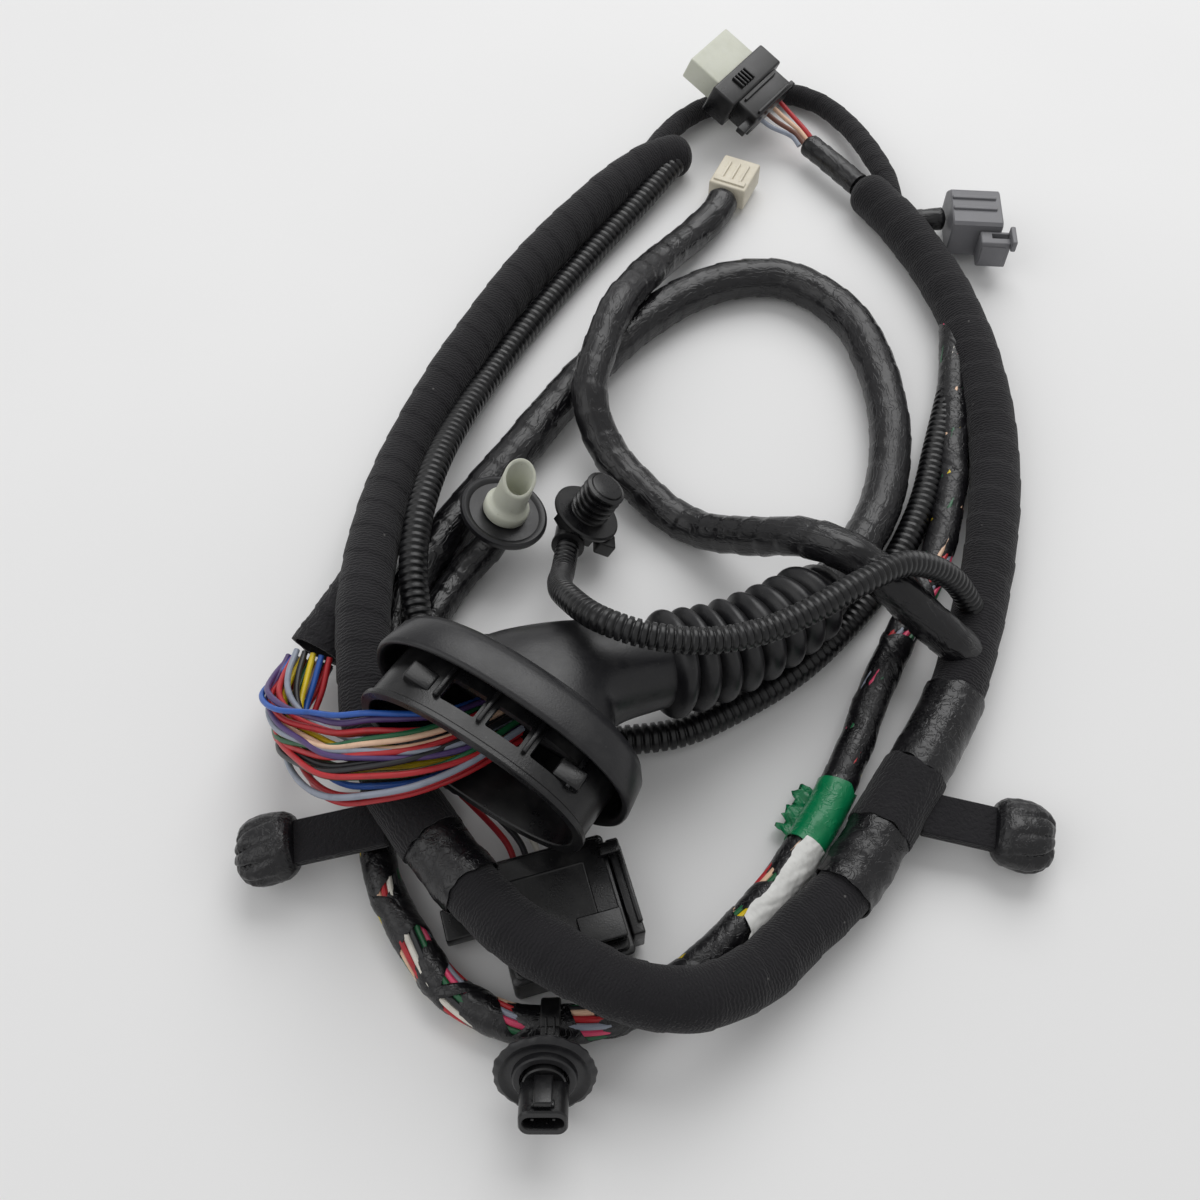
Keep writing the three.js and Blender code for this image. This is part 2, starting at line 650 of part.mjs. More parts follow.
// Disc connector in its own frame: Z out of the disc's face, Y up the face
function addDiscConnector() {
  const matrix = new THREE.Matrix4().makeRotationX(discTilt * degrees).setPosition(vector(discPlace));
  const seal = lathe([
    [discBore, -discNeck], [discRingRadius, -discNeck], [discRingRadius, -discThickness / 2],
    [discRadius - 1, -discThickness / 2], [discRadius, 0], [discRadius - 1, discThickness / 2],
    [discRadius - 2, 0.4], [discRingRadius, 0.4], [discRingRadius - 0.6, 2.2], [discBore, 2.2],
    [discBore, -discNeck],
  ], 24);
  const neckRadius = discBore - touchGap;
  const neck = cylinder(neckRadius, -discNeck, 3, 20);
  const spigot = solidOf(roundedPlate(spigotSize[0], spigotSize[1], spigotSize[2], 2.4)
    .translate(0, -spigotDrop + 1, 2.2 + touchGap));
  const socket = solidOf(roundedPlate(spigotSocket[0], spigotSocket[1], spigotSocket[2] + 1, 1.7)
    .translate(0, -spigotDrop + 1, 2.2 + touchGap + spigotSize[2] - spigotSocket[2]));
  const tab = box([4, 1.6, 8], [0, spigotSize[1] / 2 - spigotDrop + 2.2, 7.4]);
  const tabFoot = box([4, 3, 2.4], [0, spigotSize[1] / 2 - spigotDrop + 1.2, 4]);
  add("disc_seal", seal, rubber, matrix);
  add("disc_socket", neck.add(spigot).add(tab).add(tabFoot).subtract(socket), plastic, matrix);
  addDiscClip();
}

function addDiscClip() {
  const place = openCurve.getPointAt(clipPlace);
  const run = openCurve.getTangentAt(clipPlace);
  const side = new THREE.Vector3().crossVectors(up, run).normalize();
  const matrix = frameMatrix(place.toArray(), run, side, new THREE.Vector3().crossVectors(run, side));
  const inside = openRadius + touchGap;
  const band = cylinder(inside + clipBandThickness, -clipBandWidth / 2, clipBandWidth / 2, 24)
    .subtract(cylinder(inside, -clipBandWidth, clipBandWidth, 24));
  const alongX = new THREE.Matrix4().makeRotationY(90 * degrees);
  const opening = box([20, 20, 20], [0, 0, -openRadius * 0.6 - 10]);
  const tongue = box([clipBandWidth, 6, 1.6], [0, -4.5, inside + 0.4]);
  const strap = moved(band, alongX).subtract(opening).add(tongue);
  add("disc_clip", strap.subtract(moved(cylinder(inside, -10, 10, 24), alongX)), plastic, matrix);
}

function bulbMatrix() {
  return axisMatrix(bulbPlace, bulbAxis);
}

function bulbKeepOut() {
  const under = -bulbSealThickness / 2 - touchGap;
  return moved(cylinder(bulbSealRadius + 2, under, 30, 24), bulbMatrix());
}

function addBulbHolder() {
  const half = bulbSealThickness / 2;
  const bore = bulbBaseRadius - 1.2;
  const seal = lathe([
    [bore, -half], [bulbSealRadius - 0.8, -half], [bulbSealRadius, 0], [bulbSealRadius - 0.8, half],
    [bulbSealRadius - 2.4, half - 0.8], [bore, half - 0.8], [bore, -half],
  ], 24);
  const top = half - 0.8 + touchGap;
  const holder = lathe([
    [0, -half], [bore - touchGap, -half], [bore - touchGap, top], [bulbBaseRadius, top],
    [bulbBaseRadius, top + 3.2], [bulbBaseRadius - 1, top + 4], [bulbTipRadius, bulbHeight - 1],
    [bulbTipRadius - 0.3, bulbHeight], [0, bulbHeight],
  ], 20);
  const cavity = cylinder(bulbCavityRadius, bulbHeight - 8, bulbHeight + 1, 14);
  const bevel = new THREE.Matrix4().makeRotationX(30 * degrees).setPosition(0, 0, bulbHeight + 4.4);
  const slice = moved(box([20, 24, 8]), bevel);
  add("bulb_seal", seal, rubber, bulbMatrix());
  add("bulb_holder", holder.subtract(cavity).subtract(slice), material("#c9c9bd", 0.5), bulbMatrix());
}

function addPlug() {
  const matrix = axisMatrix(plugPlace, plugAxis);
  const profile = [[0, 0], [plugFlangeRadius - 0.5, 0], [plugFlangeRadius, 0.5]];
  profile.push([plugFlangeRadius, plugFlangeThickness - 0.4], [plugFlangeRadius - 0.6, plugFlangeThickness]);
  profile.push([plugBarrelRadius, plugFlangeThickness]);
  for (let rib = 0; rib < plugRibCount; rib++) {
    const foot = plugFlangeThickness + 1 + rib * plugRibPitch;
    profile.push([plugBarrelRadius, foot], [plugRibRadius, foot + 0.5]);
    profile.push([plugRibRadius, foot + 1.1], [plugBarrelRadius, foot + 1.6]);
  }
  profile.push([plugBarrelRadius, plugHeight - 0.6], [plugBarrelRadius - 1, plugHeight], [0, plugHeight]);
  add("plug_body", lathe(profile, 16), plastic, matrix);
  const base = moved(cylinder(plugBaseRadius, -plugBaseHeight - touchGap, -touchGap, 6), matrix);
  const curve = curveThrough(plugConduitRoute);
  const run = curve.getTangentAt(0);
  const end = curve.getPointAt(0).addScaledVector(run, -touchGap);
  const spout = moved(cylinder(spoutRadius, -spoutLength, 0, 16), axisMatrix(end.toArray(), run.toArray()));
  const clear = moved(cylinder(plugFlangeRadius + 2, -touchGap, plugHeight, 16), matrix);
  const lug = moved(box(plugLugSize, plugLugPlace), matrix);
  add("plug_base", base.add(spout).add(lug).subtract(clear), plastic);
}

// Module in its own frame: Y towards the side where its leads go in
function addModule() {
  const matrix = new THREE.Matrix4().makeRotationZ(moduleYaw * degrees)
    .setPosition(...modulePlace, moduleFloorGap);
  const [width, length, height] = moduleSize;
  const shell = solidOf(roundedPlate(width, length, height - 1.2, 1.4, 2));
  const lid = solidOf(roundedPlate(width - 2, length - 2, 1.2, 1.2, 2).translate(0, 0, height - 1.2));
  const bay = box([moduleBay[0], moduleBayDepth, moduleBay[1]],
    [0, length / 2 - moduleBayDepth / 2 + 0.5, 6]);
  add("module_housing", shell.add(lid).subtract(bay), plastic, matrix);
  const latch = box(latchSize, [width / 2 + touchGap + latchSize[0] / 2, 1, latchSize[2] / 2 + 1.5]);
  const finger = box([latchSize[0] + 2, 3, 1.4], [width / 2 + 0.6, length / 2 - 5, height + touchGap + 0.7]);
  const riser = box([1.4, 3, 4], [width / 2 + touchGap + 1.6, length / 2 - 5, height - 0.6]);
  add("module_latch", latch.add(riser).add(finger), plastic, matrix);
  const lock = box(lockSize, [width / 2 - lockSize[0] / 2 - 1.2, -length / 2 + 6.5,
    height + touchGap + lockSize[2] / 2]);
  const slot = box([lockSize[0] - 3, 2.4, 2], [width / 2 - lockSize[0] / 2 - 1.2,
    -length / 2 + 6.5 - lockSize[1] / 2, height + touchGap + 1.6]);
  add("module_lock", lock.subtract(slot), plastic, matrix);
}

function modulePoint(x, y, z) {
  const turn = moduleYaw * degrees;
  return [
    modulePlace[0] + x * Math.cos(turn) - y * Math.sin(turn),
    modulePlace[1] + x * Math.sin(turn) + y * Math.cos(turn),
    moduleFloorGap + z,
  ];
}

function addModuleWires() {
  const colours = ["#a8262c", "#2a2a2d", "#d9d5cc"];
  const end = vector(moduleBranchRoute.at(-1));
  colours.forEach((colour, i) => {
    const start = end.clone().add(new THREE.Vector3(0.5 + 1.5 * (i - 1), -0.4 + 1.5 * (i - 1), 0));
    const bayMouth = modulePoint(-7 + 3 * i, moduleSize[1] / 2 - 3, 6);
    const outside = modulePoint(-7.5 + 3 * i, moduleSize[1] / 2 + 5, 6.4);
    const route = [start.toArray(), start.clone().add(new THREE.Vector3(3, -3, 0.3)).toArray(),
      outside, bayMouth];
    add("module_wire_" + (i + 1), tube(curveThrough(route), smallWireRadius, 8, 4), material(colour, 0.4));
  });
}

function upperMatrix() {
  const along = vector(upperAxis).normalize();
  const high = new THREE.Vector3().crossVectors(along, vector(upperAcross)).normalize();
  const across = new THREE.Vector3().crossVectors(high, along);
  return frameMatrix(upperPlace, along, across, high);
}

function addUpperConnector() {
  const matrix = upperMatrix();
  const rear = collarSize[0] / 2 + bodySize[0];
  const collar = box(collarSize);
  const body = box([bodySize[0] + 1, bodySize[1], bodySize[2]],
    [collarSize[0] / 2 + bodySize[0] / 2 - 0.5, 0, 0]);
  const lever = box([3.2, 7, 2.2], [rear - 1.6, -bodySize[1] / 2 - 3, 1]);
  const tab = box([2, 3, 3], [rear - 1, bodySize[1] / 2 + 1, 2]);
  let housing = collar.add(body).add(lever).add(tab);
  for (let rib = 0; rib < ribCount; rib++) {
    housing = housing.add(box([5, 0.8, 1.4], [0, -6.5 + rib * 1.7, collarSize[2] / 2 + 0.3]));
  }
  const pocket = box([collarSize[0], insertSize[1] + 2 * touchGap, insertSize[2] + 2 * touchGap],
    [-2.5, 0, 0]);
  add("upper_housing", housing.subtract(pocket), plastic, matrix);
  const seat = -collarSize[0] / 2 - 2;
  const insertLength = insertSize[0] + 4;
  const insert = box([insertLength, insertSize[1], insertSize[2]], [seat - insertSize[0] / 2 + 4, 0, 0]);
  const mouth = box([9, insertSize[1] - 2 * insertWall, insertSize[2] - 2 * insertWall],
    [seat - insertSize[0] / 2 + 4 - insertLength / 2 + 3.5, 0, 0]);
  add("upper_insert", insert.subtract(mouth), material("#c3c8bd", 0.5), matrix);
}

function addUpperWires() {
  const colours = ["#b5302c", "#d9b79c", "#6b4a3c", "#8b8f95"];
  const matrix = upperMatrix();
  const rear = collarSize[0] / 2 + bodySize[0] + touchGap;
  const curve = curveThrough(upperBranchRoute);
  const run = curve.getTangentAt(1);
  const side = new THREE.Vector3().crossVectors(run, up).normalize();
  const end = curve.getPointAt(1).addScaledVector(run, touchGap);
  colours.forEach((colour, i) => {
    const lane = 1.5 - i;
    const place = (x, spread) => new THREE.Vector3(x, lane * spread, 0).applyMatrix4(matrix);
    const gathered = end.clone().addScaledVector(side, lane * 2);
    const route = [
      place(rear, upperWireSpread),
      place(rear + 4, upperWireSpread * 0.9),
      gathered.clone().addScaledVector(run, 4).setZ(8.2),
      gathered,
    ].map((point) => point.toArray());
    add("upper_wire_" + (i + 1), tube(curveThrough(route), smallWireRadius, 8, 4), material(colour, 0.4));
  });
}

// Grey connector in its own frame: X out of its mouth
function addGreyConnector() {
  const matrix = new THREE.Matrix4().makeRotationZ(greyYaw * degrees).setPosition(vector(greyPlace));
  const [length, width, height] = greySize;
  const mouth = box([greyDepth + 1, width - 2 * greyWall, height - 2 * greyWall],
    [length / 2 - greyDepth / 2 + 0.5, 0, 0]);
  const core = box([greyCore[0] + 1, greyCore[1], greyCore[2]],
    [length / 2 - greyDepth + greyCore[0] / 2 - 0.5, 0, 0]);
  const corner = new THREE.Matrix4().makeRotationX(45 * degrees)
    .setPosition(0, width / 2, height / 2);
  const chamfer = moved(box([length + 2, greyChamfer, greyChamfer * 3]), corner);
  const filler = moved(box([length, greyWall, greyChamfer * 2]), new THREE.Matrix4()
    .makeRotationX(45 * degrees)
    .setPosition(0, width / 2 - greyChamfer * 0.35 - 1.6, height / 2 - greyChamfer * 0.35 - 1.6));
  const outside = box(greySize).subtract(chamfer);
  const wallAcross = filler.intersect(outside);
  const shell = outside.subtract(mouth).add(core).add(wallAcross);
  const grey = material("#6f7072", 0.5);
  add("grey_housing", shell, grey, matrix);
  const arm = box(greyLatchSize, [length / 2 - greyLatchSize[0] / 2 + 2.5,
    -width / 2 - touchGap - greyLatchSize[1] / 2, -0.5]);
  const lip = box([1.6, greyLatchSize[1] + 2, 4], [length / 2 + 3,
    -width / 2 - touchGap - greyLatchSize[1] / 2 - 0.5, 4.5]);
  const gap = box([greyLatchSize[0] - 3, 2.2, greyLatchSize[2] + 2], [length / 2 - greyLatchSize[0] / 2 + 4.5,
    -width / 2 - touchGap - greyLatchSize[1] / 2 + 0.6, 0]);
  add("grey_latch", arm.subtract(gap).add(lip), grey, matrix);
}

function addCreamConnector() {
  const curve = curveThrough(crossRoute);
  const run = curve.getTangentAt(1);
  const yaw = Math.atan2(run.y, run.x);
  const end = curve.getPointAt(1);
  const matrix = new THREE.Matrix4().makeRotationZ(yaw).setPosition(end);
  const [length, width, height] = creamSize;
  const start = touchGap;
  const shell = box([length, width, height], [start + length / 2, 0, 0]);
  const mouth = box([6, width - 3, height - 3], [start + length - 2.5, 0, 0]);
  const rail = box([length * 0.6, 2, 1], [start + length / 2, 0, height / 2 + 0.4]);
  add("cream_connector", shell.subtract(mouth).add(rail), material("#d6cfbf", 0.5), matrix);
}

function wrapOnOpenBranch(start, length, thickness) {
  const inside = openRadius + branchWrapClearance;
  const end = start + length;
  const outer = tube(stretchOf(openCurve, start, end), inside + thickness, 10, 6);
  const inner = tube(stretchOf(openCurve, start - 0.01, end + 0.01), inside, 10, 6);
  return [outer, inner];
}

function addTapeAndLabel() {
  const [label, labelBore] = wrapOnOpenBranch(labelStart, labelLength, labelWrap);
  add("white_label", label.subtract(labelBore).subtract(mainKeepOut), material("#d8d8d6", 0.6));
  const [green, greenBore] = wrapOnOpenBranch(greenStart, greenLength, tapeWrap);
  const middle = greenStart + greenLength / 2;
  const run = openCurve.getTangentAt(middle);
  const side = new THREE.Vector3().crossVectors(up, run).normalize();
  const matrix = frameMatrix(openCurve.getPointAt(middle).toArray(), side, run,
    new THREE.Vector3().crossVectors(side, run));
  const flag = moved(box(flagSize, [openRadius + flagSize[0] / 2 - 4, 0, 3.4]), matrix);
  add("green_tape", green.add(flag).subtract(greenBore), material("#0f6a44", 0.45));
}

addTrunks();
addBreakout();
addFanWires();
addGrommet();
addBrackets();
addDiscConnector();
addBulbHolder();
addPlug();
addModule();
addModuleWires();
addUpperConnector();
addUpperWires();
addGreyConnector();
addCreamConnector();
addTapeAndLabel();

export default harness;
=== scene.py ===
import math

import bmesh
import bpy
import numpy as np
from mathutils import Euler, Matrix, Vector


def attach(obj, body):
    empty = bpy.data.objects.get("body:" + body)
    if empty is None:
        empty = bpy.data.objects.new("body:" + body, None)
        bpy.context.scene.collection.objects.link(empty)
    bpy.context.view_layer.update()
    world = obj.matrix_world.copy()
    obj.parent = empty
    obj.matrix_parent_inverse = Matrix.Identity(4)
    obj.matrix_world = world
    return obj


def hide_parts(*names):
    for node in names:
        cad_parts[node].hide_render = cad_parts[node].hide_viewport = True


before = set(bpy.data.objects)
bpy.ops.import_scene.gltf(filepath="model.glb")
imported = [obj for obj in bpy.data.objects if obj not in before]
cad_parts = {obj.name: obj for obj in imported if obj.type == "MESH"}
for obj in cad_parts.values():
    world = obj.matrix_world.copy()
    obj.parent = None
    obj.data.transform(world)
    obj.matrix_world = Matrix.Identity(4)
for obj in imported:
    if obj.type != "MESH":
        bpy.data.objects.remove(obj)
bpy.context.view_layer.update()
print("frame loaded:", len(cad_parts), "solids")

mm = 0.001
layoutShift = np.array([-0.7, 11.89, 0.23])  # the CAD layout's own shift, in millimetres
up = np.array([0.0, 0.0, 1.0])

# The photograph's camera, in metres and degrees
cameraSet = {"place": (-0.0227, -0.22951, 0.30336), "tilt": 32.0, "fieldOfView": 50.0, "sensor": 36.0}


def makeCamera():
    data = bpy.data.cameras.new("camera")
    data.sensor_width = cameraSet["sensor"]
    data.lens = cameraSet["sensor"] / 2 / math.tan(math.radians(cameraSet["fieldOfView"] / 2))
    data.clip_start, data.clip_end = 0.01, 20
    camera = bpy.data.objects.new("camera", data)
    camera.location = cameraSet["place"]
    camera.rotation_euler = (math.radians(cameraSet["tilt"]), 0, 0)
    bpy.context.scene.collection.objects.link(camera)
    bpy.context.scene.camera = camera


makeCamera()

# Routes of the cords as the CAD lays them, in millimetres; placeMm makes metres of them
routes = {
    "main": [
        (9.1, 127.2, 7.2), (-6.4, 119.2, 7.2), (-25.5, 98.1, 7.2), (-44.6, 70, 7.2),
        (-60.2, 40.3, 7.2), (-72.2, 12.2, 7.2), (-80.3, -15.4, 9.1), (-83.3, -44, 15.6),
        (-83.3, -67.1, 19.4), (-80.5, -87.7, 20.1), (-76.3, -106.3, 18.4), (-63.6, -126.1, 17.4),
        (-49.5, -143.5, 19.6), (-39.5, -153, 21.2), (-23.5, -161.8, 21.2), (-15, -165.5, 20.6),
        (-1.9, -166.6, 19.2), (6.1, -164, 17.2), (14.7, -158.5, 14), (23.9, -149.4, 11),
        (35, -139.3, 9.4), (48.4, -120, 8.8), (68.9, -87.9, 7.4), (79.3, -62.5, 7.2),
        (87.3, -36.6, 7.2), (93, -6.9, 7.2), (94, 24.3, 7.2), (90, 54.9, 7.2), (80.5, 83.5, 7.2),
        (66.4, 109.7, 7.2)],
    "inner": [
        (-42.5, -103.5, 30), (-34, -96.5, 29), (-22, -91, 27.5), (-8.5, -86.5, 24),
        (5.5, -81, 20.5), (20.5, -73, 19), (33.5, -62.5, 16.5), (46.5, -45, 9.5), (58, -24, 6.5),
        (63.5, -0.5, 6.5), (63, 25, 6.5), (55.5, 50, 6.5), (37.5, 65.5, 6.5), (15, 63.5, 6.5),
        (-9.5, 46, 6.5), (-29.5, 21, 6.5), (-47, -6, 6.5), (-63, -31, 6.5), (-73, -49, 6.5),
        (-76.5, -65.5, 6.5), (-77, -83.5, 6.5), (-77, -97, 6.5)],
    "open": [
        (-77.2, -97.4, 5.6), (-77.5, -113.7, 4.8), (-77.1, -124.2, 4.8), (-72.5, -138.2, 4.8),
        (-65.6, -149.8, 5), (-56.6, -160.8, 5), (-44.6, -167.3, 5), (-33.5, -168.8, 5),
        (-19.5, -166.8, 5), (-5.5, -159.8, 5), (9.6, -147.7, 5.5), (22, -133.9, 6.1),
        (33.6, -117.4, 6.1), (42.6, -99.8, 5.5), (51.1, -80.8, 5), (60.7, -63, 5), (71.3, -42, 5),
        (79.3, -17.4, 5), (83.8, 10.7, 5), (87.3, 33.7, 6), (90.8, 55.8, 7.2)],
    "cross": [
        (75.4, -75, 8), (69.5, -73.5, 14), (61, -69, 20), (51.5, -63, 26.5), (41.5, -56.5, 30.5),
        (30.5, -49.5, 27), (18.5, -41.5, 16), (3.5, -31, 6), (-9, -19.5, 6), (-20.5, -4.5, 9),
        (-25, 9.5, 16.5), (-21, 28, 19), (-15.5, 43.5, 19), (-4.5, 67, 11), (8.5, 86.5, 6),
        (16, 96, 6), (20.5, 105.5, 6)],
    "longConduit": [
        (5, 122.4, 7.6), (-8.5, 102.6, 6), (-25.5, 78.5, 4.5), (-41, 53.5, 4.5), (-54.1, 28.5, 5.5),
        (-63.6, 2.9, 10.5), (-69.1, -20.6, 16), (-71.6, -40.6, 18), (-71.1, -58.2, 17.5),
        (-67.6, -73.2, 14), (-60.1, -84.7, 8.5), (-47.5, -94.8, 4.5), (-32, -98.6, 4.5),
        (-17, -97.3, 4.5), (-1.5, -95, 4.5), (14, -87.6, 4.5), (29.9, -77, 4.5), (44.2, -63.1, 4.5),
        (58.3, -45.2, 4.5), (69.9, -23.6, 4.5), (77.7, -0.6, 4.5), (84.7, 20.9, 5)],
    "plugConduit": [
        (-31, -40.5, 9), (-32, -50.5, 12.5), (-32.3, -63, 25.5), (-29.8, -76, 40),
        (-22.5, -86.3, 47), (-10.5, -91.3, 47.5), (4, -91.2, 45), (17.5, -87, 43),
        (30, -80.5, 42.5), (42, -72.5, 41.5), (55, -64, 36.5), (69, -60.5, 24), (79.5, -63, 8)],
    "bulb": [
        (-49.3, -34.7, 13.4), (-50.8, -36.6, 10.2), (-53.9, -40.2, 7.3), (-59.5, -46, 5.2),
        (-66.5, -59, 5), (-70.5, -71, 5), (-75, -83.5, 6.5)],
    "arch": [
        (-8.3, 117.8, 7.6), (-1, 132.5, 7), (7, 146, 5), (17.5, 155.5, 4), (31.5, 161, 4),
        (46, 162.5, 4), (56.5, 156.5, 4.5), (65.5, 143.5, 5.5), (72, 124.5, 7.5), (75.5, 108, 8.5),
        (75, 93.4, 7.6)],
    "module": [
        (-76.5, -93, 6.5), (-70, -100, 5), (-62.5, -105, 5), (-55.5, -111, 6)],
    "grey": [
        (76.4, 90.2, 8), (86, 90, 9.5), (91.9, 90, 10)],
    "upper": [
        (65.6, 109.4, 7.4), (57, 121.5, 7.5), (50, 131.5, 7)],
}


def placeMm(points):
    return (np.asarray(points, float) + layoutShift) * mm


def unit(v):
    v = np.asarray(v, float)
    return v / np.linalg.norm(v, axis=-1, keepdims=True)


# A smooth line through given points, with each point's own spacing kept (centripetal)
def smoothLine(points, perSpan=24):
    p = np.asarray(points, float)
    p = np.vstack([2 * p[0] - p[1], p, 2 * p[-1] - p[-2]])
    line = []
    t = np.linspace(0, 1, perSpan, endpoint=False)[:, None]
    for a, b, c, d in zip(p[:-3], p[1:-2], p[2:-1], p[3:]):
        ab, bc, cd = (math.sqrt(np.linalg.norm(v)) for v in (b - a, c - b, d - c))
        leave = ((b - a) / ab - (c - a) / (ab + bc) + (c - b) / bc) * bc
        reach = ((c - b) / bc - (d - b) / (bc + cd) + (d - c) / cd) * bc
        square, cube = 3 * (c - b) - 2 * leave - reach, 2 * (b - c) + leave + reach
        line.append(b + leave * t + square * t**2 + cube * t**3)
    return np.vstack([*line, p[-2:-1]])


def distances(line):
    return np.concatenate([[0], np.cumsum(np.linalg.norm(np.diff(line, axis=0), axis=1))])


# The same line with even steps, from one distance to another
def evenLine(line, step, start=0.0, end=None):
    along = distances(line)
    end = along[-1] if end is None else end
    places = np.linspace(start, end, max(3, round((end - start) / step) + 1))
    return np.column_stack([np.interp(places, along, line[:, i]) for i in range(3)])


def runsOf(line):
    return unit(np.gradient(line, axis=0))


# Wide and high directions square to each point's run: level sideways, and up from there
def levelAxes(line):
    run = runsOf(line)
    wide = unit(np.cross(up, run))
    return wide, np.cross(run, wide)


lines = {name: evenLine(smoothLine(placeMm(points)), 1 * mm) for name, points in routes.items()}


def hexColour(text):
    values = [int(text[i:i + 2], 16) / 255 for i in (1, 3, 5)]
    return (*[v / 12.92 if v <= 0.04045 else ((v + 0.055) / 1.055) ** 2.4 for v in values], 1.0)


# One node with its settings; inputs take a value or a socket to link from
def addNode(tree, kind, inputs=None, **settings):
    node = tree.nodes.new(kind)
    for name, value in settings.items():
        setattr(node, name, value)
    for key, value in (inputs or {}).items():
        if isinstance(value, bpy.types.NodeSocket):
            tree.links.new(value, node.inputs[key])
        else:
            node.inputs[key].default_value = value
    return node


# Materials

def newMaterial(name):
    material = bpy.data.materials.new(name)
    material.use_nodes = True
    return material, material.node_tree, material.node_tree.nodes["Principled BSDF"]


# Position on the unrolled bundle in metres: across, across, along. Other pieces hold their place.
def laidCoordinate(tree, stretch=(1, 1, 1)):
    attribute = addNode(tree, "ShaderNodeAttribute", attribute_name="laid")
    return addNode(tree, "ShaderNodeMapping", {"Vector": attribute.outputs["Vector"], "Scale": stretch})


def clothTapeMaterial():
    # Woven polyester fleece tape, wound on: dull, with a fibrous nap and faint lap edges
    material, tree, shader = newMaterial("polyesterFleeceTapeWound")
    laid = laidCoordinate(tree).outputs[0]
    nap = addNode(tree, "ShaderNodeTexNoise", {"Vector": laid, "Scale": 1 / (1.1 * mm), "Detail": 4.0})
    # threads are 0.4 mm apart on the real tape, drawn at 0.9 mm so that they show
    threads = addNode(tree, "ShaderNodeTexWave", {"Vector": laid, "Scale": 1 / (0.9 * mm) / 3.2,
                      "Distortion": 7.0, "Detail": 3.0, "Detail Scale": 2.0}, bands_direction="Z")
    patches = addNode(tree, "ShaderNodeTexNoise", {"Vector": laid, "Scale": 1 / (14 * mm), "Detail": 2.0})
    colour = addNode(tree, "ShaderNodeMix", {0: patches.outputs[0], 6: hexColour("#131215"),
                     7: hexColour("#201f22")}, data_type="RGBA")
    lint = addNode(tree, "ShaderNodeTexVoronoi", {"Vector": laid, "Scale": 1 / (7 * mm)})
    lintSpot = addNode(tree, "ShaderNodeMapRange", {0: lint.outputs["Distance"], 1: 0.03, 2: 0.055,
                       3: 0.35, 4: 0.0})
    dusty = addNode(tree, "ShaderNodeMix", {0: lintSpot.outputs[0], 6: colour.outputs[2],
                    7: hexColour("#8d8b88")}, data_type="RGBA")
    tree.links.new(dusty.outputs[2], shader.inputs["Base Color"])
    shader.inputs["Roughness"].default_value = 0.82
    shader.inputs["Sheen Weight"].default_value = 0.1
    shader.inputs["Sheen Roughness"].default_value = 0.5
    shader.inputs["Specular IOR Level"].default_value = 0.25
    grain = addNode(tree, "ShaderNodeMath", {0: nap.outputs[0], 1: threads.outputs["Fac"]}, operation="ADD")
    bump = addNode(tree, "ShaderNodeBump", {"Strength": 0.55, "Distance": 0.35 * mm,
                   "Height": grain.outputs[0]})
    tree.links.new(bump.outputs[0], shader.inputs["Normal"])
    return material


def vinylTapeMaterial(name, dark, light, roughness, creaseLength):
    # Calendered PVC tape, stretched on by hand: glossy, with long tight creases drawn along it
    material, tree, shader = newMaterial(name)
    laid = laidCoordinate(tree, (1, 1, 0.3)).outputs[0]
    creases = addNode(tree, "ShaderNodeTexNoise", {"Vector": laid, "Scale": 1 / creaseLength,
                      "Detail": 2.5, "Distortion": 0.8})
    # a crease runs where the noise crosses its middle level
    level = addNode(tree, "ShaderNodeMath", {0: creases.outputs[0], 1: 0.5}, operation="SUBTRACT")
    off = addNode(tree, "ShaderNodeMath", {0: level.outputs[0]}, operation="ABSOLUTE")
    fold = addNode(tree, "ShaderNodeMapRange", {0: off.outputs[0], 1: 0.0, 2: 0.05, 3: 0.35, 4: 0.0})
    wear = addNode(tree, "ShaderNodeTexNoise", {"Vector": laid, "Scale": 1 / (9 * mm), "Detail": 5.0})
    colour = addNode(tree, "ShaderNodeMix", {0: wear.outputs[0], 6: hexColour(dark), 7: hexColour(light)},
                     data_type="RGBA")
    tree.links.new(colour.outputs[2], shader.inputs["Base Color"])
    gloss = addNode(tree, "ShaderNodeMapRange", {0: wear.outputs[0], 1: 0.35, 2: 0.7,
                    3: roughness - 0.08, 4: roughness + 0.14})
    tree.links.new(gloss.outputs[0], shader.inputs["Roughness"])
    height = addNode(tree, "ShaderNodeMath", {0: creases.outputs[0], 1: fold.outputs[0]}, operation="ADD")
    bump = addNode(tree, "ShaderNodeBump", {"Strength": 0.45, "Distance": 0.4 * mm,
                   "Height": height.outputs[0]})
    tree.links.new(bump.outputs[0], shader.inputs["Normal"])
    return material


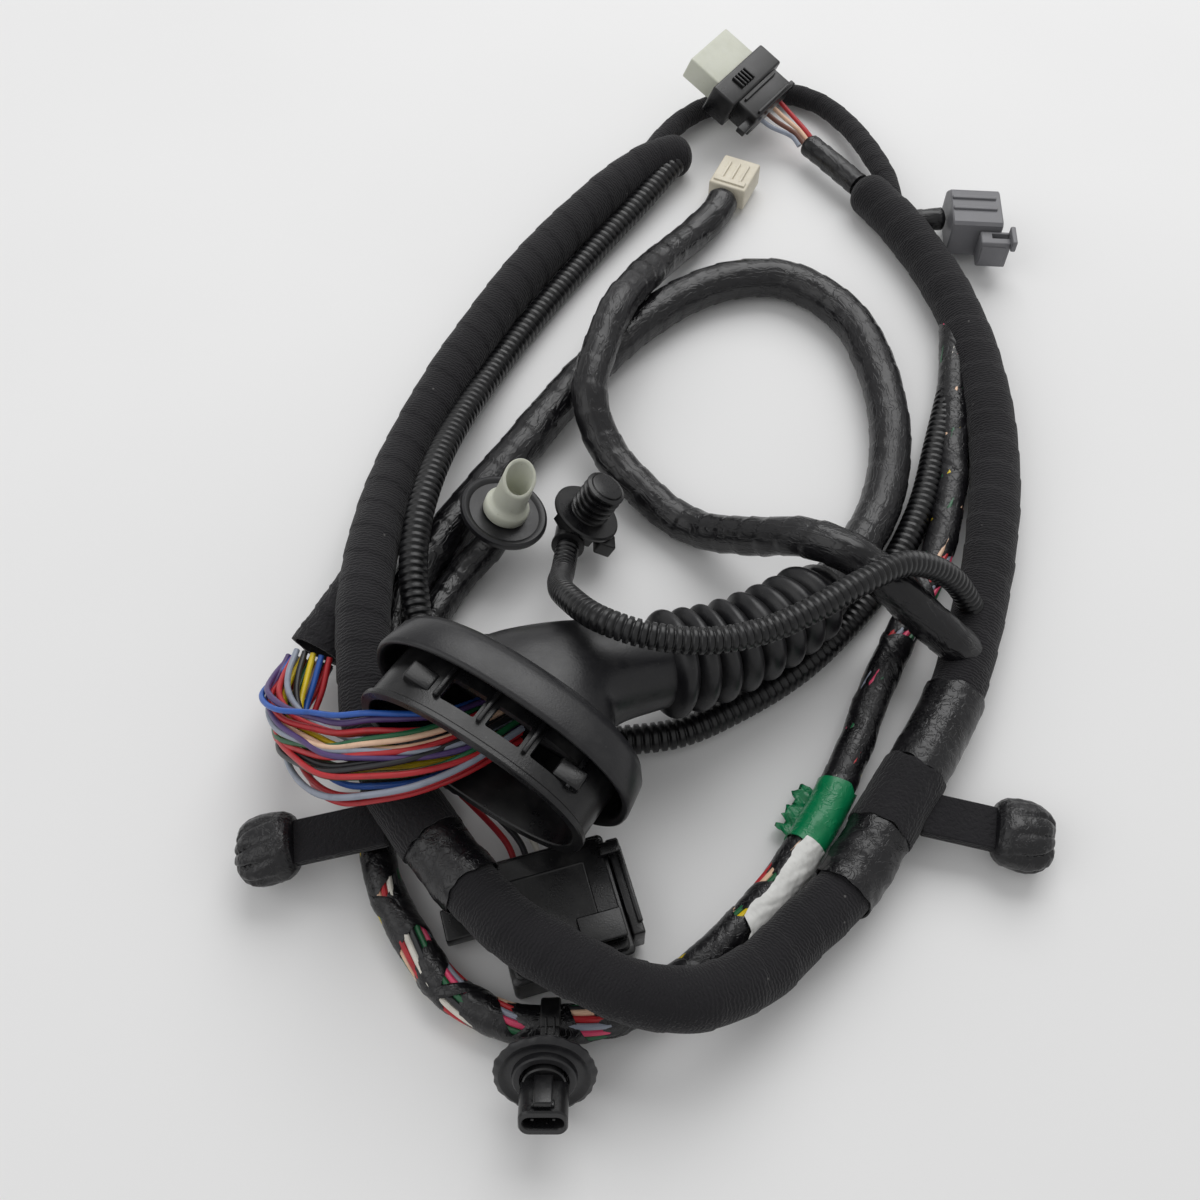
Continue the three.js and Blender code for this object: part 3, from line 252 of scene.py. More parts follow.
def mouldedMaterial(name, base, dust, roughness, texture, dustShare=0.25, scatter=0.0):
    # Injection-moulded plastic or rubber: an even spark-eroded grain, with dust and handling scuffs
    material, tree, shader = newMaterial(name)
    laid = laidCoordinate(tree).outputs[0]
    grain = addNode(tree, "ShaderNodeTexNoise", {"Vector": laid, "Scale": 1 / texture, "Detail": 2.0})
    film = addNode(tree, "ShaderNodeTexNoise", {"Vector": laid, "Scale": 1 / (8 * mm), "Detail": 6.0,
                   "Roughness": 0.65})
    filmShare = addNode(tree, "ShaderNodeMapRange", {0: film.outputs[0], 1: 0.45, 2: 0.8, 3: 0.0,
                        4: dustShare})
    specks = addNode(tree, "ShaderNodeTexVoronoi", {"Vector": laid, "Scale": 1 / (2.6 * mm)})
    speckShare = addNode(tree, "ShaderNodeMapRange", {0: specks.outputs["Distance"], 1: 0.05, 2: 0.1,
                         3: dustShare * 1.6, 4: 0.0})
    share = addNode(tree, "ShaderNodeMath", {0: filmShare.outputs[0], 1: speckShare.outputs[0]},
                    operation="MAXIMUM")
    colour = addNode(tree, "ShaderNodeMix", {0: share.outputs[0], 6: hexColour(base), 7: hexColour(dust)},
                     data_type="RGBA")
    tree.links.new(colour.outputs[2], shader.inputs["Base Color"])
    rough = addNode(tree, "ShaderNodeMapRange", {0: film.outputs[0], 1: 0.3, 2: 0.75,
                    3: roughness - 0.06, 4: roughness + 0.15})
    tree.links.new(rough.outputs[0], shader.inputs["Roughness"])
    shader.inputs["Subsurface Weight"].default_value = scatter
    shader.inputs["Subsurface Radius"].default_value = (0.002, 0.002, 0.0015)
    bump = addNode(tree, "ShaderNodeBump", {"Strength": 0.3, "Distance": 0.12 * mm,
                   "Height": grain.outputs[0]})
    tree.links.new(bump.outputs[0], shader.inputs["Normal"])
    return material


def wireMaterial(name, colour, dark):
    # Extruded PVC insulation: smooth along its length, with faint drag lines and grime
    material, tree, shader = newMaterial(name)
    laid = laidCoordinate(tree, (1, 1, 0.08)).outputs[0]
    streaks = addNode(tree, "ShaderNodeTexNoise", {"Vector": laid, "Scale": 1 / (0.7 * mm), "Detail": 2.0})
    grime = addNode(tree, "ShaderNodeTexNoise", {"Vector": laidCoordinate(tree).outputs[0],
                    "Scale": 1 / (5 * mm), "Detail": 4.0})
    share = addNode(tree, "ShaderNodeMapRange", {0: grime.outputs[0], 1: 0.5, 2: 0.78, 3: 0.0, 4: 0.75})
    mixed = addNode(tree, "ShaderNodeMix", {0: share.outputs[0], 6: hexColour(colour),
                    7: hexColour(dark)}, data_type="RGBA")
    tree.links.new(mixed.outputs[2], shader.inputs["Base Color"])
    shader.inputs["Roughness"].default_value = 0.38
    bump = addNode(tree, "ShaderNodeBump", {"Strength": 0.25, "Distance": 0.08 * mm,
                   "Height": streaks.outputs[0]})
    tree.links.new(bump.outputs[0], shader.inputs["Normal"])
    return material


def labelMaterial():
    # Coated paper label, creased round the bundle: matt, with grey handling marks
    material, tree, shader = newMaterial("coatedPaperCreased")
    laid = laidCoordinate(tree).outputs[0]
    marks = addNode(tree, "ShaderNodeTexNoise", {"Vector": laid, "Scale": 1 / (6 * mm), "Detail": 7.0,
                    "Roughness": 0.7})
    share = addNode(tree, "ShaderNodeMapRange", {0: marks.outputs[0], 1: 0.52, 2: 0.75, 3: 0.0, 4: 0.6})
    colour = addNode(tree, "ShaderNodeMix", {0: share.outputs[0], 6: hexColour("#dcdcd9"),
                     7: hexColour("#a6a5a2")}, data_type="RGBA")
    tree.links.new(colour.outputs[2], shader.inputs["Base Color"])
    shader.inputs["Roughness"].default_value = 0.62
    creases = addNode(tree, "ShaderNodeTexVoronoi", {"Vector": laid, "Scale": 1 / (5 * mm)},
                      feature="DISTANCE_TO_EDGE")
    bump = addNode(tree, "ShaderNodeBump", {"Strength": 0.35, "Distance": 0.4 * mm,
                   "Height": creases.outputs[0]})
    tree.links.new(bump.outputs[0], shader.inputs["Normal"])
    return material


materials = {
    "clothTape": clothTapeMaterial(),
    "vinylTape": vinylTapeMaterial("pvcTapeStretched", "#0b0b0d", "#18171a", 0.27, 2 * mm),
    "greenTape": vinylTapeMaterial("pvcTapeGreen", "#05653c", "#0d8a58", 0.3, 4 * mm),
    # Polypropylene, blow-moulded in a corrugator: satin black with grey dust in places
    "conduit": mouldedMaterial("polypropyleneCorrugated", "#0f0f11", "#4d4d50", 0.3, 0.5 * mm, 0.1),
    # EPDM rubber, compression moulded: satin with a pale bloom
    "rubber": mouldedMaterial("epdmRubberMoulded", "#161619", "#5a5957", 0.34, 0.6 * mm, 0.14),
    "blackPlastic": mouldedMaterial("polyamideBlackMoulded", "#0f0f11", "#6d6c6a", 0.28, 0.4 * mm, 0.12),
    "palePlastic": mouldedMaterial("polyamideNaturalMoulded", "#c9cbbd", "#a5a593", 0.38, 0.5 * mm,
                                   0.3, 0.25),
    "creamPlastic": mouldedMaterial("pbtCreamMoulded", "#d6cfbd", "#a89f8c", 0.42, 0.5 * mm, 0.3, 0.1),
    "greyPlastic": mouldedMaterial("pbtGreyMoulded", "#6c6c70", "#8f8e8c", 0.42, 0.4 * mm, 0.25),
    "whiteLabel": labelMaterial(),
}
wireColours = {
    "red": ("#b3252c", "#7d1a22"), "violet": ("#4f3a6e", "#35274c"), "cream": ("#e2bda0", "#b28f76"),
    "black": ("#232326", "#131315"), "green": ("#1b5c38", "#0f3a24"), "grey": ("#8e95a3", "#666b77"),
    "yellow": ("#d9bd18", "#a38b12"), "blue": ("#2558ac", "#183c7a"), "white": ("#d6d2c8", "#a9a59c"),
    "brown": ("#6b4030", "#472a20"), "pink": ("#d8436a", "#a02d4b")}
for colourName, (lit, dark) in wireColours.items():
    materials[colourName + "Wire"] = wireMaterial("pvcInsulation" + colourName.capitalize(), lit, dark)
print("materials made:", len(materials))


# Pieces in mesh code

# Makes a finished mesh piece from points in metres; "laid" holds the pattern's coordinates
def makePiece(name, points, faces, look, laid=None, sharp=35, node=None, slot=None):
    mesh = bpy.data.meshes.new(name)
    mesh.from_pydata([tuple(p) for p in points], [], faces)
    mesh.validate()
    attribute = mesh.attributes.new("laid", "FLOAT_VECTOR", "POINT")
    pattern = np.asarray(points if laid is None else laid, np.float32)
    attribute.data.foreach_set("vector", pattern.ravel())
    mesh.shade_smooth()
    mesh.set_sharp_from_angle(angle=math.radians(sharp))
    piece = bpy.data.objects.new(name, mesh)
    mesh.materials.append(materials[look])
    bpy.context.scene.collection.objects.link(piece)
    return finishPiece(piece, node)


def finishPiece(piece, nodes=None):
    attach(piece, "root")
    if nodes:
        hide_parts(*([nodes] if isinstance(nodes, str) else nodes))
    return piece


# A closed skin over rings of points: rings is (count, sides, 3)
def skin(rings, closed=False):
    rings = np.asarray(rings, float)
    count, sides = rings.shape[:2]
    faces = []
    for r in range(count if closed else count - 1):
        a, b = r * sides, ((r + 1) % count) * sides
        for i in range(sides):
            j = (i + 1) % sides
            faces.append((a + i, a + j, b + j, b + i))
    if not closed:
        faces.append(tuple(range(sides))[::-1])
        faces.append(tuple(range((count - 1) * sides, count * sides)))
    return rings.reshape(-1, 3), faces


def joinParts(parts):
    points, faces, start = [], [], 0
    for part, partFaces in parts:
        part = np.asarray(part, float)
        points.append(part)
        faces += [tuple(i + start for i in face) for face in partFaces]
        start += len(part)
    return np.vstack(points), faces


def moveTo(part, matrix):
    points, faces = part
    m = np.array(matrix)
    return np.asarray(points) @ m[:3, :3].T + m[:3, 3], faces


def frameMatrix(place, x, y, z):
    m = np.eye(4)
    m[:3, 0], m[:3, 1], m[:3, 2], m[:3, 3] = x, y, z, place
    return m


def axisMatrix(placeInMm, axis):
    turn = Vector((0, 0, 1)).rotation_difference(Vector(axis).normalized())
    m = np.array(turn.to_matrix().to_4x4())
    m[:3, 3] = placeMm(placeInMm)
    return m


def ovalRing(height, halfWide, halfHigh, sides, exponent=2.0):
    angle = np.linspace(0, 2 * math.pi, sides, endpoint=False)
    c, s = np.cos(angle), np.sin(angle)
    x = np.sign(c) * np.abs(c) ** (2 / exponent) * halfWide
    y = np.sign(s) * np.abs(s) ** (2 / exponent) * halfHigh
    return np.column_stack([x, y, np.full(sides, height)])


def plateRing(height, width, length, corner, perCorner=4, place=(0, 0)):
    ring = []
    for quarter, (sx, sy) in enumerate([(1, 1), (-1, 1), (-1, -1), (1, -1)]):
        for k in range(perCorner + 1):
            angle = math.pi / 2 * (quarter + k / perCorner)
            ring.append((sx * (width / 2 - corner) + corner * math.cos(angle) + place[0],
                         sy * (length / 2 - corner) + corner * math.sin(angle) + place[1], height))
    return np.array(ring)


# A block with rounded edges, in metres, from its size, middle and edge radius
def block(size, place=(0, 0, 0), edge=0.4 * mm):
    x, y, z = size
    edge = min(edge, 0.45 * min(size))
    low, high = place[2] - z / 2, place[2] + z / 2
    rings = []
    for k in range(4):
        angle = math.pi / 2 * k / 3
        inset = edge * (1 - math.sin(angle))
        rings.append(plateRing(low + edge * (1 - math.cos(angle)), x - 2 * inset, y - 2 * inset,
                               max(edge - inset * 0.5, 0.05 * mm), 3, place))
    for ring in rings[::-1]:
        top = ring.copy()
        top[:, 2] = low + high - ring[:, 2]
        rings.append(top)
    return skin(rings)


# A turned part from (radius, height) pairs, closed where a radius is nothing
def turned(profile, sides=48):
    rings = []
    angle = np.linspace(0, 2 * math.pi, sides, endpoint=False)
    for radius, height in profile:
        r = np.full(sides, max(radius, 0.02 * mm))
        rings.append(np.column_stack([r * np.cos(angle), r * np.sin(angle), np.full(sides, height)]))
    return skin(rings)


# A round bar along a line, its radius in metres
def roundBar(line, radius, sides):
    wide, high = levelAxes(line)
    angle = np.linspace(0, 2 * math.pi, sides, endpoint=False)
    r = np.full((len(line), sides), radius)
    return skin(line[:, None] + wide[:, None] * (r * np.cos(angle))[..., None]
                + high[:, None] * (r * np.sin(angle))[..., None])


# Smooth repeatable noise from sums of sines, about -1 to 1
def ripples(x, y, seed, octaves=4):
    numbers = np.random.default_rng(seed)
    total = np.zeros(np.broadcast(x, y).shape)
    for k in range(octaves):
        fx, fy = numbers.uniform(0.6, 1.4, 2) * 1.7**k
        px, py = numbers.uniform(0, 2 * math.pi, 2)
        total = total + np.sin(fx * x + px + 1.3 * np.sin(fy * y + py)) / 1.4**k
    return total / octaves * 1.4


# Sweeps along a path as Geometry Nodes

def newTree(name, inputs):
    tree = bpy.data.node_groups.new(name, "GeometryNodeTree")
    tree.interface.new_socket("Geometry", in_out="INPUT", socket_type="NodeSocketGeometry")
    for label, kind in inputs.items():
        tree.interface.new_socket(label, in_out="INPUT", socket_type="NodeSocket" + kind)
    tree.interface.new_socket("Geometry", in_out="OUTPUT", socket_type="NodeSocketGeometry")
    return tree, addNode(tree, "NodeGroupInput")


def namedValue(tree, name, kind="FLOAT"):
    node = addNode(tree, "GeometryNodeInputNamedAttribute", {"Name": name}, data_type=kind)
    return node.outputs["Attribute"]


# Sweeps the host's line and keeps, on the skin, how far along and round each point lies
def sweptSkin(tree, group):
    curve = addNode(tree, "GeometryNodeMeshToCurve", {"Mesh": group.outputs["Geometry"]})
    even = addNode(tree, "GeometryNodeResampleCurve", {"Curve": curve.outputs[0],
                   "Length": group.outputs["Step"]}, mode="LENGTH")
    place = addNode(tree, "GeometryNodeSplineParameter")
    here = addNode(tree, "GeometryNodeInputPosition")
    kept = addNode(tree, "GeometryNodeStoreNamedAttribute", {"Geometry": even.outputs[0],
                   "Name": "along", "Value": place.outputs["Length"]}, data_type="FLOAT")
    centred = addNode(tree, "GeometryNodeStoreNamedAttribute", {"Geometry": kept.outputs[0],
                      "Name": "centre", "Value": here.outputs[0]}, data_type="FLOAT_VECTOR")
    circle = addNode(tree, "GeometryNodeCurvePrimitiveCircle", {"Resolution": group.outputs["Sides"],
                     "Radius": group.outputs["Radius"]}, mode="RADIUS")
    roundPlace = addNode(tree, "GeometryNodeSplineParameter")
    section = addNode(tree, "GeometryNodeStoreNamedAttribute", {"Geometry": circle.outputs[0],
                      "Name": "turn", "Value": roundPlace.outputs["Factor"]}, data_type="FLOAT")
    swept = addNode(tree, "GeometryNodeCurveToMesh", {"Curve": centred.outputs[0],
                    "Profile Curve": section.outputs[0], "Fill Caps": True})
    angle = addNode(tree, "ShaderNodeMath", {0: namedValue(tree, "turn"), 1: 2 * math.pi},
                    operation="MULTIPLY")
    cosine = addNode(tree, "ShaderNodeMath", {0: angle.outputs[0]}, operation="COSINE")
    sine = addNode(tree, "ShaderNodeMath", {0: angle.outputs[0]}, operation="SINE")
    across = addNode(tree, "ShaderNodeMath", {0: cosine.outputs[0], 1: group.outputs["Radius"]},
                     operation="MULTIPLY")
    over = addNode(tree, "ShaderNodeMath", {0: sine.outputs[0], 1: group.outputs["Radius"]},
                   operation="MULTIPLY")
    laid = addNode(tree, "ShaderNodeCombineXYZ", {0: across.outputs[0], 1: over.outputs[0],
                   2: namedValue(tree, "along")})
    marked = addNode(tree, "GeometryNodeStoreNamedAttribute", {"Geometry": swept.outputs[0],
                     "Name": "laid", "Value": laid.outputs[0]}, data_type="FLOAT_VECTOR")
    return marked.outputs[0]


# Moves the skin out by a height in metres and by the host's own swell, then finishes the tree
def pushedOut(tree, group, geometry, height):
    here = addNode(tree, "GeometryNodeInputPosition")
    spoke = addNode(tree, "ShaderNodeVectorMath", {0: here.outputs[0],
                    1: namedValue(tree, "centre", "FLOAT_VECTOR")}, operation="SUBTRACT")
    outward = addNode(tree, "ShaderNodeVectorMath", {0: spoke.outputs[0]}, operation="NORMALIZE")
    swell = namedValue(tree, "swell")
    raised = addNode(tree, "ShaderNodeMath", {0: height, 1: group.outputs["Radius"]}, operation="ADD")
    full = addNode(tree, "ShaderNodeMath", {0: raised.outputs[0], 1: swell}, operation="MULTIPLY")
    change = addNode(tree, "ShaderNodeMath", {0: full.outputs[0], 1: group.outputs["Radius"]},
                     operation="SUBTRACT")
    offset = addNode(tree, "ShaderNodeVectorMath", {0: outward.outputs[0], "Scale": change.outputs[0]},
                     operation="SCALE")
    shaped = addNode(tree, "GeometryNodeSetPosition", {"Geometry": geometry, "Offset": offset.outputs[0]})
    smooth = addNode(tree, "GeometryNodeSetShadeSmooth", {"Geometry": shaped.outputs[0]})
    real = addNode(tree, "GeometryNodeRealizeInstances", {"Geometry": smooth.outputs[0]})
    looked = addNode(tree, "GeometryNodeSetMaterial", {"Geometry": real.outputs[0],
                     "Material": group.outputs["Material"]})
    addNode(tree, "NodeGroupOutput", {"Geometry": looked.outputs[0]})


# Tape wound round a bundle: each lap steps down to the next, over lumps and creases
def woundTree():
    tree, group = newTree("woundBundle", {
        "Radius": "Float", "Step": "Float", "Sides": "Int", "Lap Pitch": "Float", "Lap Height": "Float",
        "Lump Size": "Float", "Lump Height": "Float", "Crease Size": "Float", "Crease Height": "Float",
        "Seed": "Float", "Material": "Material"})
    geometry = sweptSkin(tree, group)
    laid = namedValue(tree, "laid", "FLOAT_VECTOR")
    laps = addNode(tree, "ShaderNodeMath", {0: namedValue(tree, "along"), 1: group.outputs["Lap Pitch"]},
                   operation="DIVIDE")
    phase = addNode(tree, "ShaderNodeMath", {0: laps.outputs[0], 1: namedValue(tree, "turn")},
                    operation="ADD")
    share = addNode(tree, "ShaderNodeMath", {0: phase.outputs[0]}, operation="FRACT")
    lap = addNode(tree, "ShaderNodeMath", {0: share.outputs[0], 1: group.outputs["Lap Height"]},
                  operation="MULTIPLY")
    height = lap.outputs[0]
    for size, amount, stretch in (("Lump Size", "Lump Height", 1.0), ("Crease Size", "Crease Height", 0.4)):
        drawn = addNode(tree, "ShaderNodeVectorMath", {0: laid, 1: (1, 1, stretch)}, operation="MULTIPLY")
        shrunk = addNode(tree, "ShaderNodeMath", {0: 1.0, 1: group.outputs[size]}, operation="DIVIDE")
        rough = addNode(tree, "ShaderNodeTexNoise", {"Vector": drawn.outputs[0], "W": group.outputs["Seed"],
                        "Scale": shrunk.outputs[0], "Detail": 1.5}, noise_dimensions="4D")
        level = addNode(tree, "ShaderNodeMath", {0: rough.outputs[0], 1: 0.5}, operation="SUBTRACT")
        scaled = addNode(tree, "ShaderNodeMath", {0: level.outputs[0], 1: group.outputs[amount]},
                         operation="MULTIPLY")
        height = addNode(tree, "ShaderNodeMath", {0: height, 1: scaled.outputs[0]},
                         operation="ADD").outputs[0]
    pushedOut(tree, group, geometry, height)
    return tree


# A corrugated conduit: round ribs with narrow grooves between them
def ribbedTree():
    tree, group = newTree("ribbedConduit", {
        "Radius": "Float", "Step": "Float", "Sides": "Int", "Rib Pitch": "Float", "Groove Depth": "Float",
        "Material": "Material"})
    geometry = sweptSkin(tree, group)
    ribs = addNode(tree, "ShaderNodeMath", {0: namedValue(tree, "along"), 1: group.outputs["Rib Pitch"]},
                   operation="DIVIDE")
    turns = addNode(tree, "ShaderNodeMath", {0: ribs.outputs[0], 1: 2 * math.pi}, operation="MULTIPLY")
    wave = addNode(tree, "ShaderNodeMath", {0: turns.outputs[0]}, operation="COSINE")
    # a steep step between the rib's flat top and its groove
    groove = addNode(tree, "ShaderNodeMapRange", {0: wave.outputs[0], 1: 0.1, 2: 0.6, 3: 0.0, 4: -1.0},
                     interpolation_type="SMOOTHSTEP")
    depth = addNode(tree, "ShaderNodeMath", {0: groove.outputs[0], 1: group.outputs["Groove Depth"]},
                    operation="MULTIPLY")
    pushedOut(tree, group, geometry, depth.outputs[0])
    return tree


trees = {"wound": woundTree(), "ribbed": ribbedTree()}


# Runs a tree on a line and keeps the plain mesh it makes
def runTree(treeName, name, line, swell, values, look):
    tree = trees[treeName]
    host = bpy.data.meshes.new(name + "Line")
    host.from_pydata([tuple(p) for p in line], [(i, i + 1) for i in range(len(line) - 1)], [])
    attribute = host.attributes.new("swell", "FLOAT", "POINT")
    attribute.data.foreach_set("value", np.asarray(swell, np.float32))
    hostObject = bpy.data.objects.new(name + "Host", host)
    bpy.context.scene.collection.objects.link(hostObject)
    modifier = hostObject.modifiers.new("sweep", "NODES")
    modifier.node_group = tree
    for item in tree.interface.items_tree:
        if item.in_out == "INPUT" and item.name in values:
            modifier[item.identifier] = values[item.name]
        if item.in_out == "INPUT" and item.name == "Material":
            modifier[item.identifier] = materials[look]
    evaluated = hostObject.evaluated_get(bpy.context.evaluated_depsgraph_get())
    mesh = bpy.data.meshes.new_from_object(evaluated)
    mesh.name = name
    bpy.data.objects.remove(hostObject)
    piece = bpy.data.objects.new(name, mesh)
    bpy.context.scene.collection.objects.link(piece)
    return piece


# Rounded over ends, as a share of the radius at each point of the line
def roundedEnds(line, startLength, endLength):
    along = distances(line)
    swell = np.ones(len(line))
    for reach, gap in ((startLength, along), (endLength, along[-1] - along)):
        if reach:
            t = np.clip(gap / reach, 0, 1)
            swell *= np.sqrt(np.clip(1 - (1 - t) ** 2, 0.02, 1))
    return swell


# Cords

# Radius in mm; lap, lump and crease sizes in mm; ends say how far each end is rounded over
wound = {
    "main_trunk": dict(route="main", radius=6.95, look="clothTape", slot="cloth_tape", lap=(9.5, 0.28),
                       lump=(17, 0.9), crease=(4, 0.22), ends=(6, 6), sides=48, step=0.75, seed=1.0),
    "inner_trunk": dict(route="inner", radius=5.9, look="vinylTape", slot="black_tape", lap=(8, 0.3),
                        lump=(11, 0.8), crease=(3, 0.35), ends=(0, 0), sides=36, step=0.8, seed=2.0),
    "cross_branch": dict(route="cross", radius=5.15, look="vinylTape", slot="black_tape", lap=(7.5, 0.3),
                         lump=(9, 0.9), crease=(2.6, 0.5), ends=(0, 3), sides=32, step=0.8, seed=3.0),
    "bulb_branch": dict(route="bulb", radius=4.3, look="vinylTape", slot="black_tape", lap=(6.5, 0.3),
                        lump=(7, 0.8), crease=(2.2, 0.5), ends=(2.5, 0), sides=28, step=0.7, seed=4.0),
    "arch_branch": dict(route="arch", radius=3.5, look="clothTape", slot="cloth_tape", lap=(8, 0.2),
                        lump=(9, 0.5), crease=(2, 0.3), ends=(0, 0), sides=28, step=0.7, seed=5.0),
    "module_branch": dict(route="module", radius=3.1, look="vinylTape", slot="black_tape", lap=(6, 0.25),
                          lump=(6, 0.5), crease=(2, 0.3), ends=(0, 1.5), sides=24, step=0.7, seed=6.0),
    "grey_branch": dict(route="grey", radius=3.5, look="vinylTape", slot="black_tape", lap=(6, 0.25),
                        lump=(6, 0.5), crease=(2, 0.3), ends=(0, 1), sides=24, step=0.7, seed=7.0),
    "upper_branch": dict(route="upper", radius=3.7, look="vinylTape", slot="black_tape", lap=(6, 0.25),
                         lump=(6, 0.6), crease=(2, 0.4), ends=(0, 1.5), sides=24, step=0.7, seed=8.0),
}


def makeWound():
    for name, size in wound.items():
        line = lines[size["route"]]
        swell = roundedEnds(line, size["ends"][0] * mm, size["ends"][1] * mm)
        piece = runTree("wound", name + "_skin", line, swell, {
            "Radius": size["radius"] * mm, "Step": size["step"] * mm, "Sides": size["sides"],
            "Lap Pitch": size["lap"][0] * mm, "Lap Height": size["lap"][1] * mm,
            "Lump Size": size["lump"][0] * mm, "Lump Height": size["lump"][1] * mm,
            "Crease Size": size["crease"][0] * mm, "Crease Height": size["crease"][1] * mm,
            "Seed": size["seed"]}, size["look"])
        finishPiece(piece, name)


conduits = {
    "long_conduit": dict(route="longConduit", radius=3.9, pitch=2.2, groove=0.75, sides=26),
    "plug_conduit": dict(route="plugConduit", radius=3.3, pitch=1.9, groove=0.7, sides=28),
}


def makeConduits():
    for name, size in conduits.items():
        line = lines[size["route"]]
        piece = runTree("ribbed", name + "_skin", line, np.ones(len(line)), {
            "Radius": size["radius"] * mm, "Step": size["pitch"] / 9 * mm, "Sides": size["sides"],
            "Rib Pitch": size["pitch"] * mm, "Groove Depth": size["groove"] * mm}, "conduit")
        finishPiece(piece, name)


# The fan of loose wires: its middle at each station, the turn about its run, lane and layer pitch
fanWires = {
    "layers": (6, 5, 5), "shift": 0.36, "radius": 0.8, "wander": 0.7,
    "stations": [
        ((-96.5, -78, 13.2), 180, 2.25, 2.25), ((-98.5, -86, 14), 150, 2.3, 2.3),
        ((-99.5, -93.5, 16), 110, 2.5, 2.5), ((-96.5, -102.5, 19.5), 70, 2.8, 2.6),
        ((-89.5, -110.5, 25), 40, 3.2, 2.6), ((-82, -115.8, 30.5), 25, 3.4, 2.6),
        ((-73.5, -117.5, 35), 15, 3.4, 2.5), ((-64.5, -117, 35.8), 12, 3.1, 2.5),
        ((-55.3, -113.3, 34), 10, 2.6, 2.3), ((-43.2, -104.1, 30.1), 0, 2.1, 2.1)],
    "colours": ["violet", "red", "cream", "black", "green", "grey", "red", "yellow", "green", "cream",
                "red", "grey", "black", "yellow", "blue", "red"],
    # wires that cross over the top: first lane, last lane and colour
    "crossing": [(4.6, 0.4, "green"), (0.2, 4.4, "violet"), (2.2, 5.2, "red"), (3.4, 1.2, "cream"),
                 (5.4, 2.6, "black"), (1.4, 3.4, "grey"), (4.0, 2.2, "red"), (0.8, -0.4, "blue")],
    "crossingRadius": 0.72, "crossingLayer": -0.72,
}


# Each wire keeps its lane and layer, or goes over the others from its first lane to its last
def fanLine(layer, lane, lanes, lastLane=None, seed=0.0):
    stations = fanWires["stations"]
    middles = np.array([s[0] for s in stations], float)
    points = []
    for i, (_, turn, lanePitch, layerPitch) in enumerate(stations):
        run = unit(middles[min(i + 1, len(stations) - 1)] - middles[max(i - 1, 0)])
        out = unit(np.cross(run, up))
        high = np.cross(out, run)
        angle = math.radians(turn)
        across = out * math.cos(angle) - high * math.sin(angle)
        over = out * math.sin(angle) + high * math.cos(angle)
        share = i / (len(stations) - 1)
        laneHere = lane if lastLane is None else lane + (lastLane - lane) * share
        # a crossing wire comes out from between the others and goes back between them
        layerHere = layer if lastLane is None else layer + (0.5 - layer) * abs(2 * share - 1) ** 3
        sideways = laneHere - (lanes - 1) / 2 + fanWires["shift"] * (layer - 1)
        points.append(middles[i] + across * sideways * lanePitch + over * (1 - layerHere) * layerPitch)
    line = smoothLine(placeMm(points), 16)
    share = distances(line) / distances(line)[-1]
    drift = np.sin(math.pi * share) * np.sin(share * 9 + 2.4 * lane + 1.7 * layer + seed)
    wide, high = levelAxes(line)
    return evenLine(line + wide * (drift * fanWires["wander"] * mm)[:, None], 0.8 * mm)


def wireAlong(name, line, radius, colour, seed, step=1.1):
    return runTree("wound", name + "_skin", line, np.ones(len(line)), {
        "Radius": radius * mm, "Step": step * mm, "Sides": 12, "Lap Pitch": 1.0, "Lap Height": 0.0,
        "Lump Size": 6 * mm, "Lump Height": 0.06 * mm, "Crease Size": 3 * mm, "Crease Height": 0.0,
        "Seed": seed}, colour + "Wire")


def makeFanWires():
    number = 0
    for layer, lanes in enumerate(fanWires["layers"]):
        for lane in range(lanes):
            name = f"wire_{number + 1:02d}"
            colour = fanWires["colours"][number]
            lines[name] = fanLine(layer, lane, lanes)
            piece = wireAlong(name, lines[name], fanWires["radius"], colour, float(number))
            finishPiece(piece, name)
            number += 1
    for i, (first, last, colour) in enumerate(fanWires["crossing"]):
        name = f"crossing_wire_{i + 1}"
        lines[name] = fanLine(fanWires["crossingLayer"], first, 6, last, 1.3 * i)
        piece = wireAlong(name, lines[name], fanWires["crossingRadius"], colour, 20.0 + i)
        finishPiece(piece)


makeWound()
makeConduits()
makeFanWires()


# Grommet and boot

grommet = {
    "place": (-45.4, -110.4, 34.8), "turn": (84, 9.2, -32.2), "exponent": 2.3, "sides": 96,
    # height, half width and half height of the cup, back to lip, in mm
    "cup": [(-13, 25, 13.5), (-12.2, 29.3, 15.8), (-10.6, 32.3, 18.2), (-8, 34.1, 19.4),
            (-4, 34.7, 19.8), (-1, 35.1, 20.1), (-0.2, 34.9, 19.9), (0.2, 34.3, 19.3), (0, 33.6, 18.6),
            (-0.6, 33.1, 18.1), (-2, 32.9, 17.6), (-9.2, 32.5, 17.2), (-9.6, 32, 16.7), (-9.7, 25, 11.5)],
    "shoulder": [((-39.2, -101, 32.8), 58, 24, 13.4), ((-33, -95.6, 31.2), 48, 19, 13),
                 ((-25.5, -91.8, 29), 28, 15, 12.4), ((-17, -89, 26.5), 14, 12.4, 11.8)],
    "foldCount": 8, "foldPitch": 6.2, "foldStart": 40, "crest": (14, 10.8), "valley": (10.6, 7.8),
    "cuff": 4,
}
grommetMatrix = np.eye(4)
grommetMatrix[:3, :3] = Euler([math.radians(a) for a in grommet["turn"]], "XYZ").to_matrix()
grommetMatrix[:3, 3] = placeMm(grommet["place"])


